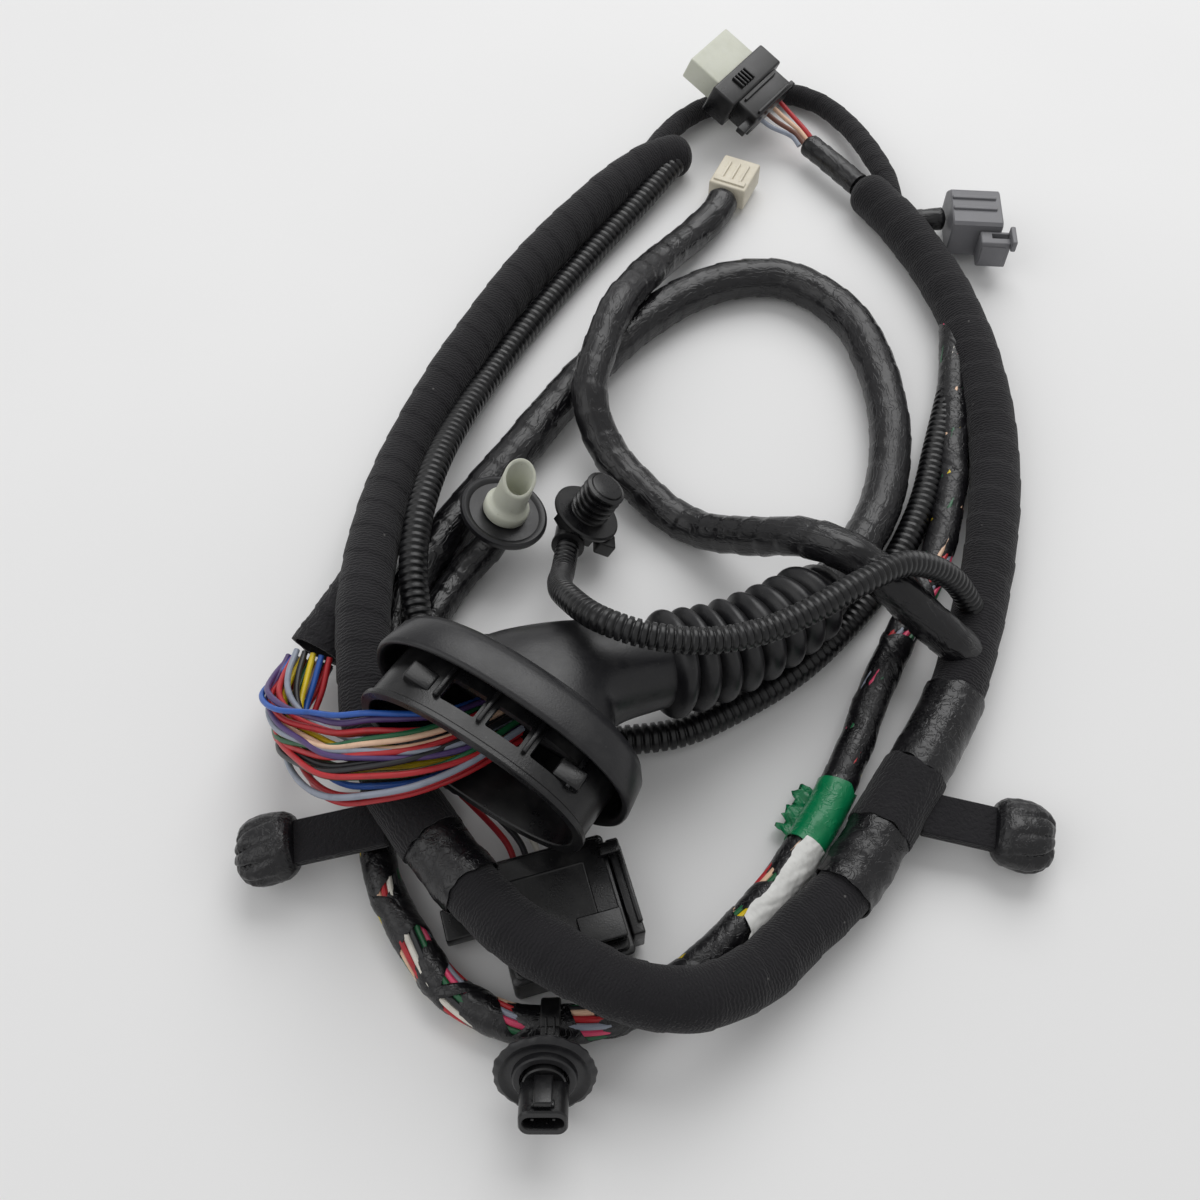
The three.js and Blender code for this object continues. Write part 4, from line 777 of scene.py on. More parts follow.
# The cup's ring in the part's frame, run round the same way as the boot's rings
def cupRing(height, halfWide, halfHigh, exponent=None):
    ring = ovalRing(height * mm, halfWide * mm, halfHigh * mm, grommet["sides"],
                    exponent or grommet["exponent"])
    ring[:, 0] *= -1
    return ring @ grommetMatrix[:3, :3].T + grommetMatrix[:3, 3]


def bootRing(centre, run, halfWide, halfHigh):
    wide = unit(np.cross(up, run))
    high = np.cross(run, wide)
    ring = ovalRing(0, halfWide, halfHigh, grommet["sides"])
    return centre + ring[:, :1] * wide + ring[:, 1:2] * high


def makeGrommet():
    g = grommet
    inner = lines["inner"]
    along = distances(inner)
    runs = runsOf(inner)

    def at(distance):
        return (np.array([np.interp(distance, along, inner[:, i]) for i in range(3)]),
                unit(np.array([np.interp(distance, along, runs[:, i]) for i in range(3)])))

    foldEnd = (g["foldStart"] + g["foldCount"] * g["foldPitch"]) * mm
    rings = []
    for reach, radius in ((g["cuff"] + 0.2, 6.3), (g["cuff"], 7.9), (g["cuff"] - 0.4, 8.3), (0.4, 8.3)):
        centre, run = at(foldEnd + reach * mm)
        rings.append(bootRing(centre, run, radius * mm, radius * mm))
    steps = g["foldCount"] * 12
    for k in range(steps, -1, -1):
        share = k / steps
        crest = np.interp(share, (0, 1), g["crest"])
        valley = np.interp(share, (0, 1), g["valley"])
        rise = abs(math.sin(math.pi * g["foldCount"] * share)) ** 0.75
        centre, run = at((g["foldStart"] + g["foldCount"] * g["foldPitch"] * share) * mm)
        radius = (valley + (crest - valley) * rise) * mm
        rings.append(bootRing(centre, run, radius, radius))
    # the shoulder's stations, from the folds back to the cup, joined smoothly ring by ring
    stations = [rings[-1]]
    for place, heading, halfWide, halfHigh in g["shoulder"][::-1]:
        angle = math.radians(heading)
        run = unit([math.cos(angle), math.sin(angle), -0.22])
        stations.append(bootRing(placeMm(place), run, halfWide * mm, halfHigh * mm))
    stations += [cupRing(*g["cup"][0]), cupRing(*g["cup"][1])]
    stations = np.array(stations)
    for i in range(len(stations) - 2):
        p0 = stations[max(i - 1, 0)]
        p1, p2, p3 = stations[i], stations[i + 1], stations[i + 2]
        for t in np.linspace(0, 1, 8, endpoint=False)[(1 if i == 0 else 0):]:
            rings.append(0.5 * (2 * p1 + (p2 - p0) * t + (2 * p0 - 5 * p1 + 4 * p2 - p3) * t**2
                                + (3 * p1 - p0 - 3 * p2 + p3) * t**3))
    rings += [cupRing(*row) for row in g["cup"]]
    # the throat behind the frame, closed where the wires are out of sight
    rings += [cupRing(-12, 25, 10.5), cupRing(-20, 16, 8)]
    points, faces = skin(rings)
    makePiece("grommet_rubber", points, faces, "rubber", sharp=50, node="grommet_boot", slot="rubber")


# A part's mesh with others cut out of it
def carved(part, cutters):
    def temporary(points, faces):
        mesh = bpy.data.meshes.new("cut")
        mesh.from_pydata([tuple(p) for p in points], [], faces)
        built = bmesh.new()
        built.from_mesh(mesh)
        bmesh.ops.recalc_face_normals(built, faces=built.faces)
        built.to_mesh(mesh)
        built.free()
        piece = bpy.data.objects.new("cut", mesh)
        bpy.context.scene.collection.objects.link(piece)
        return piece

    body = temporary(*part)
    tools = [temporary(*cutter) for cutter in cutters]
    for tool in tools:
        modifier = body.modifiers.new("cut", "BOOLEAN")
        modifier.operation, modifier.solver, modifier.object = "DIFFERENCE", "EXACT", tool
    evaluated = body.evaluated_get(bpy.context.evaluated_depsgraph_get())
    mesh = bpy.data.meshes.new_from_object(evaluated)
    points = np.array([v.co for v in mesh.vertices])
    faces = [tuple(p.vertices) for p in mesh.polygons]
    for piece in (body, *tools):
        bpy.data.objects.remove(piece)
    bpy.data.meshes.remove(mesh)
    return points, faces


frameCollar = {
    "half": (29.5, 14), "wall": 1.8, "seat": -9.15, "reach": 12, "lip": 0.9, "flange": (32.2, 16.8, 1.8),
    "windows": (-9, 3, 15), "windowSize": (9, 6), "blocks": (-20, 20), "blockSize": (7, 3.2, 5),
    "ribs": (-14.6, -3.1, 9.1, 21), "ribSize": (1.1, 2, 12),
}


def wallTop(place):
    halfWide, halfHigh = frameCollar["half"]
    return halfHigh * (1 - abs(place / halfWide) ** 2.3) ** (1 / 2.3)


def makeGrommetFrame():
    f = frameCollar
    wide, high = f["half"]
    seat, reach, lip, wall = f["seat"], f["reach"], f["lip"], f["wall"]
    flangeWide, flangeHigh, flangeThick = f["flange"]
    profile = [
        (seat, wide - wall, high - wall), (seat, flangeWide - 0.3, flangeHigh - 0.3),
        (seat + 0.3, flangeWide, flangeHigh), (seat + flangeThick - 0.3, flangeWide, flangeHigh),
        (seat + flangeThick, flangeWide - 0.3, flangeHigh - 0.3),
        (seat + flangeThick + 0.1, wide + 0.5, high + 0.5), (seat + flangeThick + 0.7, wide, high),
        (reach - 2, wide, high), (reach - 1.3, wide + lip, high + lip),
        (reach - 0.3, wide + lip, high + lip), (reach, wide + lip - 0.3, high + lip - 0.3),
        (reach, wide - wall + 0.3, high - wall + 0.3), (reach - 0.3, wide - wall, high - wall),
    ]
    shell = skin([ovalRing(z * mm, a * mm, b * mm, 96, 2.3) for z, a, b in profile], closed=True)
    cutters = []
    for place in f["windows"]:
        cutters.append(block((f["windowSize"][0] * mm, 8 * mm, f["windowSize"][1] * mm),
                             (place * mm, wallTop(place) * mm, 3.6 * mm), 0.5 * mm))
    parts = [carved(shell, cutters)]
    for place in f["blocks"]:
        size = [s * mm for s in f["blockSize"]]
        parts.append(block(size, (place * mm, (wallTop(place) + f["blockSize"][1] / 2 - wall) * mm, 4 * mm),
                           0.6 * mm))
    # stiffening ribs beside each window
    for place in f["ribs"]:
        parts.append(block([s * mm for s in f["ribSize"]],
                           (place * mm, (wallTop(place) + 0.4) * mm, 1 * mm), 0.3 * mm))
    points, faces = moveTo(joinParts(parts), grommetMatrix)
    local = joinParts(parts)[0]
    makePiece("grommet_collar", points, faces, "blackPlastic", laid=local, node="grommet_frame",
              slot="black_plastic")


makeGrommet()
makeGrommetFrame()
print("grommet made")


# Taped breakout, brackets and wraps

def ovalSweep(line, halfWide, halfHigh, sides, relief=None):
    wide, high = levelAxes(line)
    angle = np.linspace(0, 2 * math.pi, sides, endpoint=False)[None, :]
    extra = 0 if relief is None else relief(distances(line)[:, None], angle)
    x = (np.asarray(halfWide)[:, None] + extra) * np.cos(angle)
    y = (np.asarray(halfHigh)[:, None] + extra) * np.sin(angle)
    return line[:, None] + wide[:, None] * x[..., None] + high[:, None] * y[..., None]


breakout = {
    "stations": [((-83.6, -52.2, 16.9), 5.6, 5.6), ((-87.8, -61.3, 15.4), 6.2, 5.8),
                 ((-91.9, -69.3, 14.2), 6.9, 5.4), ((-95.5, -76, 13.5), 7.4, 4.7)],
    "lip": 0.9, "depth": 6,
}


def makeBreakout():
    b = breakout
    centres = placeMm([s[0] for s in b["stations"]])
    line = evenLine(smoothLine(centres), 0.7 * mm)
    share = distances(line) / distances(line)[-1]
    knots = np.linspace(0, 1, len(b["stations"]))
    wide = np.interp(share, knots, [s[1] * mm for s in b["stations"]])
    high = np.interp(share, knots, [s[2] * mm for s in b["stations"]])

    def relief(along, angle):
        # winding edges run round it, and the mouth's edge is ragged
        laps = ((along / (6.5 * mm) + angle / (2 * math.pi)) % 1) * 0.35
        return (laps + 0.25 * ripples(along * 900, angle * 5, 3)) * mm

    outer = ovalSweep(line, wide, high, 64, relief)
    ragged = outer[-1] + runsOf(line)[-1] * (0.5 * mm * ripples(np.linspace(0, 20, 64), 0, 9))[:, None]
    outer[-1] = ragged
    mouth = line[::-1][: int(b["depth"] / 0.7)]
    insideWide = wide[::-1][: len(mouth)] - b["lip"] * mm
    insideHigh = high[::-1][: len(mouth)] - b["lip"] * mm
    inner = ovalSweep(mouth, insideWide, insideHigh, 64)
    # the inner wall runs back from the mouth, so its rings keep the outer wall's direction round
    wideOut, wideIn = levelAxes(line)[0][-1], levelAxes(mouth)[0][0]
    if np.dot(wideOut, wideIn) < 0:
        angle = np.linspace(0, 2 * math.pi, 64, endpoint=False)
        order = [int(round(((math.pi - a) % (2 * math.pi)) / (2 * math.pi) * 64)) % 64 for a in angle]
        inner = inner[:, order]
    points, faces = skin(np.concatenate([outer, inner]))
    makePiece("breakout_sleeve", points, faces, "clothTape", sharp=60, node="breakout", slot="cloth_tape")


brackets = {
    "left": dict(root=(-66, -123.4, 17), end=(-99.5, -128.4, 10.6), tape=(0.402, 0.43), seed=11),
    "right": dict(root=(49.9, -117.6, 9.6), end=(78.9, -123.8, 7.4), tape=(0.634, 0.662), seed=12),
}
# The arm starts clear of the trunk; the tape goes round the trunk over it
bracketArm = {"start": 7, "width": 11, "thick": 3, "tapeRadius": 7.75, "tapeThick": 0.5}
bracketHead = {
    "profile": [(0, 6.6, 4.2), (1, 7.6, 5.2), (2.4, 8.4, 6), (5.1, 8.8, 6.3), (8.6, 8.9, 6.2),
                (11, 8.3, 5.7), (12.6, 7.2, 4.9), (13.8, 5.4, 3.7), (14.2, 3, 2.1), (13.4, 0.8, 0.6)],
    "reach": 5, "folds": 9, "foldDepth": 0.24, "sides": 144,
}


def makeBracket(side):
    b = brackets[side]
    root, end = placeMm(b["root"]), placeMm(b["end"])
    reach = np.linalg.norm(end - root)
    run = unit(end - root)
    across = unit(np.cross(up, run))
    matrix = frameMatrix(root, run, across, np.cross(run, across))
    start, width, thick = (bracketArm[key] * mm for key in ("start", "width", "thick"))
    arm = block((reach - start, width, thick), ((reach + start) / 2, 0, 0), 0.5 * mm)
    makePiece(side + "_arm", *moveTo(arm, matrix), "clothTape", laid=arm[0], node=side + "_bracket",
              slot="black_plastic")
    profile = np.array(bracketHead["profile"], float)
    knots = np.linspace(0, 1, len(profile))
    rows = np.column_stack([np.interp(np.linspace(0, 1, 56), knots, profile[:, i]) for i in range(3)])
    angle = np.linspace(0, 2 * math.pi, bracketHead["sides"], endpoint=False)
    rings = []
    for k, (h, a, c) in enumerate(rows):
        # pleats drawn in to the head's tip: soft at its waist, deep and sharp over its end
        gather = np.clip((k / len(rows) - 0.2) / 0.5, 0, 1)
        turnHere = angle * bracketHead["folds"] / 2 + 0.9 * np.sin(angle + b["seed"]) + 0.05 * k + b["seed"]
        pleat = 1 - np.abs(np.sin(turnHere))
        swell = 1.03 - bracketHead["foldDepth"] * gather * pleat**2
        swell = swell + 0.05 * ripples(angle * 3, h / 4, b["seed"], 5)
        out = h + 0.5 * gather * ripples(angle * 2, k / 14, b["seed"] + 3)
        rings.append(np.column_stack([np.full(len(angle), reach - bracketHead["reach"] * mm) + out * mm,
                                      np.cos(angle) * a * swell * mm, np.sin(angle) * c * swell * mm]))
    head = skin(np.array(rings)[:, ::-1][::-1])
    makePiece(side + "_head_wrap", *moveTo(head, matrix), "vinylTape", laid=head[0], sharp=60,
              node=side + "_bracket_wrap", slot="black_tape")
    band = sleeve("main", b["tape"], bracketArm["tapeRadius"], bracketArm["tapeThick"], b["seed"], 0.2)
    makePiece(side + "_trunk_tape", *band, "clothTape", sharp=60, node=side + "_bracket_tape",
              slot="black_tape")


# A short sleeve of tape round a line, between two shares of its length, with uneven edges
def sleeve(route, span, radius, thickness, seed, lumps, sides=64, step=0.6):
    line = lines[route]
    total = distances(line)[-1]
    part = evenLine(line, step * mm, span[0] * total, span[1] * total)
    angle = np.linspace(0, 2 * math.pi, sides, endpoint=False)
    share = np.linspace(-1, 1, len(part))[:, None]
    reach = total * (span[1] - span[0]) / 2
    edge = 0.9 * mm * ripples(angle * 2.3, 1.0, seed)[None, :] * share**3
    relief = lumps * mm * ripples(share * reach / (2.6 * mm), angle[None, :] * 2.2, seed + 1, 5)
    wide, high = levelAxes(part)
    run = runsOf(part)

    def wall(r):
        full = r * mm + relief
        return (part[:, None] + run[:, None] * edge[..., None]
                + wide[:, None] * (full * np.cos(angle))[..., None]
                + high[:, None] * (full * np.sin(angle))[..., None])

    outer, inner = wall(radius + thickness), wall(radius)
    return skin(np.concatenate([outer, inner[::-1]]), closed=True)


makeBreakout()
for sideName in brackets:
    makeBracket(sideName)
# stretched vinyl tape on the trunk beside the arms: shares of its length, lump height and seed
trunkPatches = {
    "left": ((0.43, 0.453), 0.5, 21), "right_low": ((0.607, 0.634), 0.5, 22),
    "right_high": ((0.662, 0.7), 0.25, 23),
}
patchRadius, patchThick = 7.45, 0.4
for patchName, (span, lumps, seed) in trunkPatches.items():
    makePiece("trunk_patch_" + patchName, *sleeve("main", span, patchRadius, patchThick, seed, lumps),
              "vinylTape", sharp=60, slot="black_tape")
print("breakout and brackets made")


# Open branch: wires showing between strips of tape

openBranch = {
    "core": 2.7, "wireRadius": 0.8, "lay": 3.5, "twist": 150, "strip": 4.3, "thick": 0.16, "lift": 0.22,
    # each strip: its pitch and first turn, then its width in mm at distances along in mm
    "strips": [
        (15, 0.0, [(0, 16), (15, 16), (24, 9), (36, 13), (50, 11), (60, 7.5), (74, 9.5), (84, 14),
                   (98, 12), (108, 8.5), (120, 16), (140, 17), (148, 10.5), (160, 9.5), (168, 16),
                   (206, 17), (228, 16), (238, 9), (262, 9.5), (274, 16), (330, 16), (400, 17)]),
        (-23, 1.9, [(0, 7), (30, 3.5), (48, 7), (64, 3), (90, 6), (112, 3.5), (140, 9), (152, 4),
                    (170, 8), (214, 7), (240, 3.5), (262, 5), (300, 7), (400, 7)]),
    ],
    "colours": ["red", "cream", "green", "yellow", "black", "green", "black", "cream", "red", "grey",
                "pink", "green", "black", "white"],
}


def makeOpenBranch():
    o = openBranch
    line = evenLine(lines["open"], 1.5 * mm)
    along = distances(line)
    wide, high = levelAxes(line)
    byColour = {}
    count = len(o["colours"])
    for k, colour in enumerate(o["colours"]):
        angle = 2 * math.pi * (k / count + along / (o["twist"] * mm))
        drift = 0.22 * mm * ripples(along / (9 * mm), k * 3.0, 40 + k)
        path = (line + wide * ((o["lay"] * mm + drift) * np.cos(angle))[:, None]
                + high * ((o["lay"] * mm + drift) * np.sin(angle))[:, None])
        byColour.setdefault(colour, []).append(roundBar(path, o["wireRadius"] * mm, 10))
    pieces = []
    for colour, parts in byColour.items():
        pieces.append(makePiece("open_branch_" + colour, *joinParts(parts), colour + "Wire",
                                slot=("red" if colour == "pink" else colour) + "_wire"))
    core = roundBar(line, o["core"] * mm, 16)
    total = along[-1]
    parts = [core]
    for number, (pitch, firstTurn, widths) in enumerate(o["strips"]):
        turns = total / (abs(pitch) * mm)
        reach = np.linspace(0, total, int(turns * 40))
        angles = firstTurn + reach / (pitch * mm) * 2 * math.pi
        angles = angles + 0.35 * ripples(reach / (21 * mm), 1.0, 30 + number)
        half = np.interp(reach / mm, *zip(*widths)) / 2 * mm
        half = half * (1 + 0.22 * ripples(reach / (4 * mm), 2, 33 + number))
        cross = np.linspace(-1, 1, 15)[None, :]
        place = np.clip(reach[:, None] + cross * half[:, None], 0, total)
        # the strip bridges from wire to wire, is drawn in at its edges and creased along its run
        relief = 0.2 * ripples(reach[:, None] / (1.1 * mm), cross * 5 + angles[:, None] / 3, 34, 5)
        loose = (relief + 0.12 * cross - 0.25 * np.abs(cross) ** 4 + number * o["lift"]) * mm
        side = 1 if pitch > 0 else -1

        def wall(radius):
            centre, w, h = (np.stack([np.interp(place, along, axis[:, i]) for i in range(3)], axis=-1)
                            for axis in (line, wide, high))
            r = radius * mm + loose
            return (centre + w * (r * np.cos(angles)[:, None])[..., None]
                    + h * (r * np.sin(angles)[:, None])[..., None])

        # each cross-section ring goes over the strip and back under it
        outer, inner = wall(o["strip"] + o["thick"]), wall(o["strip"])
        points, faces = skin(np.concatenate([outer, inner[:, ::-1]], axis=1))
        parts.append((points, [f[::-side] for f in faces]))
    points, faces = joinParts(parts)
    piece = makePiece("open_branch_tape", points, faces, "vinylTape", sharp=60, node="open_branch",
                      slot="black_tape")
    return pieces


openWires = makeOpenBranch()
print("open branch made")


# Fittings

disc = {"place": (-34, -180.6, 11.9), "tilt": 60, "radius": 11.3, "neck": 3.2, "thickness": 2.2,
        "ring": 7.2, "bore": 5.2, "spigot": (10.6, 7, 9), "socket": (8.6, 3.4, 6.5), "drop": 2,
        "clipShare": 0.2585, "clipWidth": 4.5, "clipInside": 4.85}


def discMatrix():
    m = np.array(Matrix.Rotation(math.radians(disc["tilt"]), 4, "X"))
    m[:3, 3] = placeMm(disc["place"])
    return m


def makeDisc():
    d = disc
    r, ring, bore, half = d["radius"], d["ring"], d["bore"], d["thickness"] / 2
    profile = [(bore, -d["neck"]), (ring - 0.3, -d["neck"]), (ring, -d["neck"] + 0.3), (ring, -half - 0.2),
               (ring + 0.4, -half), (r - 1.4, -half), (r - 0.5, -half + 0.3), (r, -0.2), (r, 0.2),
               (r - 0.5, half - 0.3), (r - 1.2, half), (r - 1.8, half - 0.2), (r - 2.3, 0.5),
               (ring + 0.5, 0.35), (ring, 0.6), (ring - 0.15, 1.9), (ring - 0.5, 2.2),
               (bore + 0.3, 2.2), (bore, 1.9)]
    angle = np.linspace(0, 2 * math.pi, 96, endpoint=False)
    nicks = 0.012 * np.sin(23 * angle) + 0.01 * np.sin(9 * angle + 1)
    rings = []
    for radius, height in profile:
        # the rubber rim is a little uneven
        turnedRadius = radius * mm * (1 + nicks * (radius > r - 1))
        rings.append(np.column_stack([turnedRadius * np.cos(angle), turnedRadius * np.sin(angle),
                                      np.full(96, height * mm)]))
    seal = skin(rings, closed=True)
    makePiece("disc_rubber", *moveTo(seal, discMatrix()), "rubber", laid=seal[0], node="disc_seal",
              slot="rubber")
    width, length, reach = (s * mm for s in d["spigot"])
    inWidth, inLength, inDepth = (s * mm for s in d["socket"])
    low, top, y = 2.4 * mm, 2.55 * mm + reach, -d["drop"] * mm
    rings = [plateRing(low, width, length, 2.4 * mm, 6, (0, y)),
             plateRing(top - 0.4 * mm, width, length, 2.4 * mm, 6, (0, y)),
             plateRing(top, width - 0.6 * mm, length - 0.6 * mm, 2.1 * mm, 6, (0, y)),
             plateRing(top, inWidth + 0.5 * mm, inLength + 0.5 * mm, 1.8 * mm, 6, (0, y)),
             plateRing(top - 0.4 * mm, inWidth, inLength, 1.6 * mm, 6, (0, y)),
             plateRing(top - inDepth, inWidth, inLength, 1.6 * mm, 6, (0, y))]
    parts = [skin(rings), turned([(0, -3.2 * mm), (4.6 * mm, -3.2 * mm), (4.8 * mm, -3 * mm),
                                  (4.8 * mm, 2.8 * mm), (4.5 * mm, 3.1 * mm), (0, 3.1 * mm)], 40)]
    for x in (-2.3, 2.3):
        parts.append(block((0.7 * mm, 0.7 * mm, 6 * mm), (x * mm, y, top - inDepth + 2.5 * mm), 0.15 * mm))
    # the catch above the spigot and its foot
    parts.append(block((4 * mm, 1.6 * mm, 7.5 * mm), (0, 2.7 * mm, 7 * mm), 0.35 * mm))
    parts.append(block((4 * mm, 3 * mm, 2.4 * mm), (0, 1.7 * mm, 4 * mm), 0.35 * mm))
    parts.append(block((5 * mm, 1 * mm, 1.6 * mm), (0, 1.8 * mm, 9.6 * mm), 0.25 * mm))
    points, faces = joinParts(parts)
    makePiece("disc_plug", *moveTo((points, faces), discMatrix()), "blackPlastic", laid=points,
              node="disc_socket", slot="black_plastic")


def makeDiscClip():
    line = lines["open"]
    along = distances(line)
    distance = disc["clipShare"] * along[-1]
    centre = np.array([np.interp(distance, along, line[:, i]) for i in range(3)])
    run = unit(np.array([np.interp(distance, along, runsOf(line)[:, i]) for i in range(3)]))
    side = unit(np.cross(up, run))
    matrix = frameMatrix(centre, run, side, np.cross(run, side))
    half, inside = disc["clipWidth"] / 2 * mm, disc["clipInside"] * mm
    rings = []
    for angle in np.radians(np.linspace(-34, 214, 60)):
        spoke = np.array([0, math.cos(angle), math.sin(angle)])
        section = [(-half, inside), (-half, inside + 1.0 * mm), (-half + 0.3 * mm, inside + 1.3 * mm),
                   (half - 0.3 * mm, inside + 1.3 * mm), (half, inside + 1.0 * mm), (half, inside)]
        rings.append([np.array([x, 0, 0]) + spoke * r for x, r in section])
    parts = [skin(np.array(rings))]
    parts.append(block((4.5 * mm, 6 * mm, 1.6 * mm), (0, -4.5 * mm, inside + 0.5 * mm), 0.35 * mm))
    for x in (-0.9, 0.9):
        parts.append(block((0.5 * mm, 3.6 * mm, 0.5 * mm), (x * mm, -1.5 * mm, inside + 1.4 * mm), 0.15 * mm))
    points, faces = joinParts(parts)
    makePiece("disc_strap", *moveTo((points, faces), matrix), "blackPlastic", laid=points,
              node="disc_clip", slot="black_plastic")


bulb = {"place": (-48.4, -33.5, 15.8), "axis": (0.34, 0.07, 0.94), "seal": 12.4, "sealThick": 2.4,
        "base": 6.3, "tip": 4.5, "height": 18, "cavity": 3.6, "cut": (14.8, 0.7)}


def makeBulbHolder():
    b = bulb
    matrix = axisMatrix(b["place"], b["axis"])
    half, seal, bore = b["sealThick"] / 2, b["seal"], b["base"] - 1.2
    profile = [(bore, -half), (seal - 0.9, -half), (seal - 0.2, -half + 0.4), (seal, 0),
               (seal - 0.2, half - 0.4), (seal - 0.9, half), (seal - 1.7, half - 0.1),
               (seal - 2.5, half - 0.8), (bore, half - 0.8)]
    sealPart = skin([ovalRing(h * mm, r * mm, r * mm, 72) for r, h in profile], closed=True)
    makePiece("bulb_rubber", *moveTo(sealPart, matrix), "rubber", laid=sealPart[0], node="bulb_seal",
              slot="rubber")
    top = half - 0.45
    rows = [(bore - 0.3, -half), (bore - 0.3, top), (b["base"] - 0.3, top), (b["base"], top + 0.4),
            (b["base"], top + 2.9), (b["base"] - 0.4, top + 3.5), (b["base"] - 1.2, top + 4.2)]
    angle = np.linspace(0, 2 * math.pi, 64, endpoint=False)
    rings = [ovalRing(h * mm, r * mm, r * mm, 64) for r, h in rows]
    # the cone's top is cut off at a slant, so the rings above its shoulder tilt
    low = top + 4.2
    for share in np.linspace(0.12, 1, 9):
        radius = np.interp(share, (0, 1), (b["base"] - 1.5, b["tip"]))
        cut = np.minimum(b["cut"][0] + b["cut"][1] * radius * np.sin(angle), b["height"])
        height = low + (cut - low) * share
        rings.append(np.column_stack([radius * np.cos(angle), radius * np.sin(angle), height]) * mm)
    for radius, drop in ((b["tip"] - 0.25, -0.25), (b["cavity"] + 0.2, -0.25), (b["cavity"], 0.1)):
        cut = np.minimum(b["cut"][0] + b["cut"][1] * radius * np.sin(angle), b["height"])
        rings.append(np.column_stack([radius * np.cos(angle), radius * np.sin(angle), cut - drop]) * mm)
    rings.append(ovalRing(6 * mm, (b["cavity"] - 0.3) * mm, (b["cavity"] - 0.3) * mm, 64))
    holder = skin(rings)
    makePiece("bulb_socket", *moveTo(holder, matrix), "palePlastic", laid=holder[0], sharp=40,
              node="bulb_holder", slot="pale_plastic")


plug = {"place": (-26.2, -32, 12.2), "axis": (0.49, 0.15, 0.86), "flange": (9.75, 1.8), "barrel": 4.7,
        "rib": 5.7, "ribCount": 5, "ribPitch": 2.1, "height": 13, "base": (7.2, 5), "spout": (4.2, 7.5),
        "lug": ((5, 5, 4.5), (7.5, -5.2, -2.9))}


def makePlug():
    p = plug
    matrix = axisMatrix(p["place"], p["axis"])
    flange, thick = p["flange"]
    profile = [(0, 0), (flange - 0.6, 0), (flange, 0.5), (flange, thick - 0.5), (flange - 0.5, thick),
               (p["barrel"] + 0.5, thick), (p["barrel"], thick + 0.4)]
    for rib in range(p["ribCount"]):
        foot = thick + 1 + rib * p["ribPitch"]
        profile += [(p["barrel"], foot), (p["rib"] - 0.15, foot + 0.25), (p["rib"], foot + 0.45),
                    (p["rib"] - 0.1, foot + 0.85), (p["barrel"], foot + 1.25)]
    profile += [(p["barrel"], p["height"] - 0.8), (p["barrel"] - 0.3, p["height"] - 0.2),
                (p["barrel"] - 0.9, p["height"]), (0, p["height"])]
    body = turned([(r * mm, h * mm) for r, h in profile], 72)
    makePiece("plug_ribbed", *moveTo(body, matrix), "blackPlastic", laid=body[0], node="plug_body",
              slot="black_plastic")
    radius, height = p["base"]
    hexagon = []
    for z, grow in ((-height - 0.3, -0.4), (-height + 0.1, 0), (-0.8, 0), (-0.35, -0.3)):
        angle = np.linspace(0, 2 * math.pi, 6, endpoint=False)
        hexagon.append(np.column_stack([(radius + grow) * np.cos(angle), (radius + grow) * np.sin(angle),
                                        np.full(6, z)]) * mm)
    base = moveTo(skin(hexagon), matrix)
    line = lines["plugConduit"]
    run = runsOf(line)[0]
    spoutMatrix = np.array(Vector((0, 0, 1)).rotation_difference(Vector(run)).to_matrix().to_4x4())
    spoutMatrix[:3, 3] = line[0] - run * 0.35 * mm
    r, reach = p["spout"]
    spout = turned([(0, -reach * mm), (r * mm, -reach * mm), (r * mm, -1.2 * mm), ((r + 0.4) * mm, -1 * mm),
                    ((r + 0.4) * mm, -0.2 * mm), (r * mm, 0), (0, 0)], 40)
    parts = [base, moveTo(spout, spoutMatrix), moveTo(mmBlock(*p["lug"], 0.5), matrix)]
    makePiece("plug_nut", *joinParts(parts), "blackPlastic", node="plug_base", slot="black_plastic")


module = {"place": (-31.6, -143.6), "yaw": 16, "size": (29, 30, 12.6), "gap": 0.3, "bay": (20, 9, 6),
          "latch": (3, 24, 10), "lock": (10.5, 7, 3.4), "tab": ((13, 8, 4), (-20.5, 5, 4))}


def moduleMatrix():
    m = np.array(Matrix.Rotation(math.radians(module["yaw"]), 4, "Z"))
    m[:3, 3] = placeMm((*module["place"], module["gap"]))
    return m


def mmBlock(size, place, edge=0.4):
    return block([s * mm for s in size], [p * mm for p in place], edge * mm)


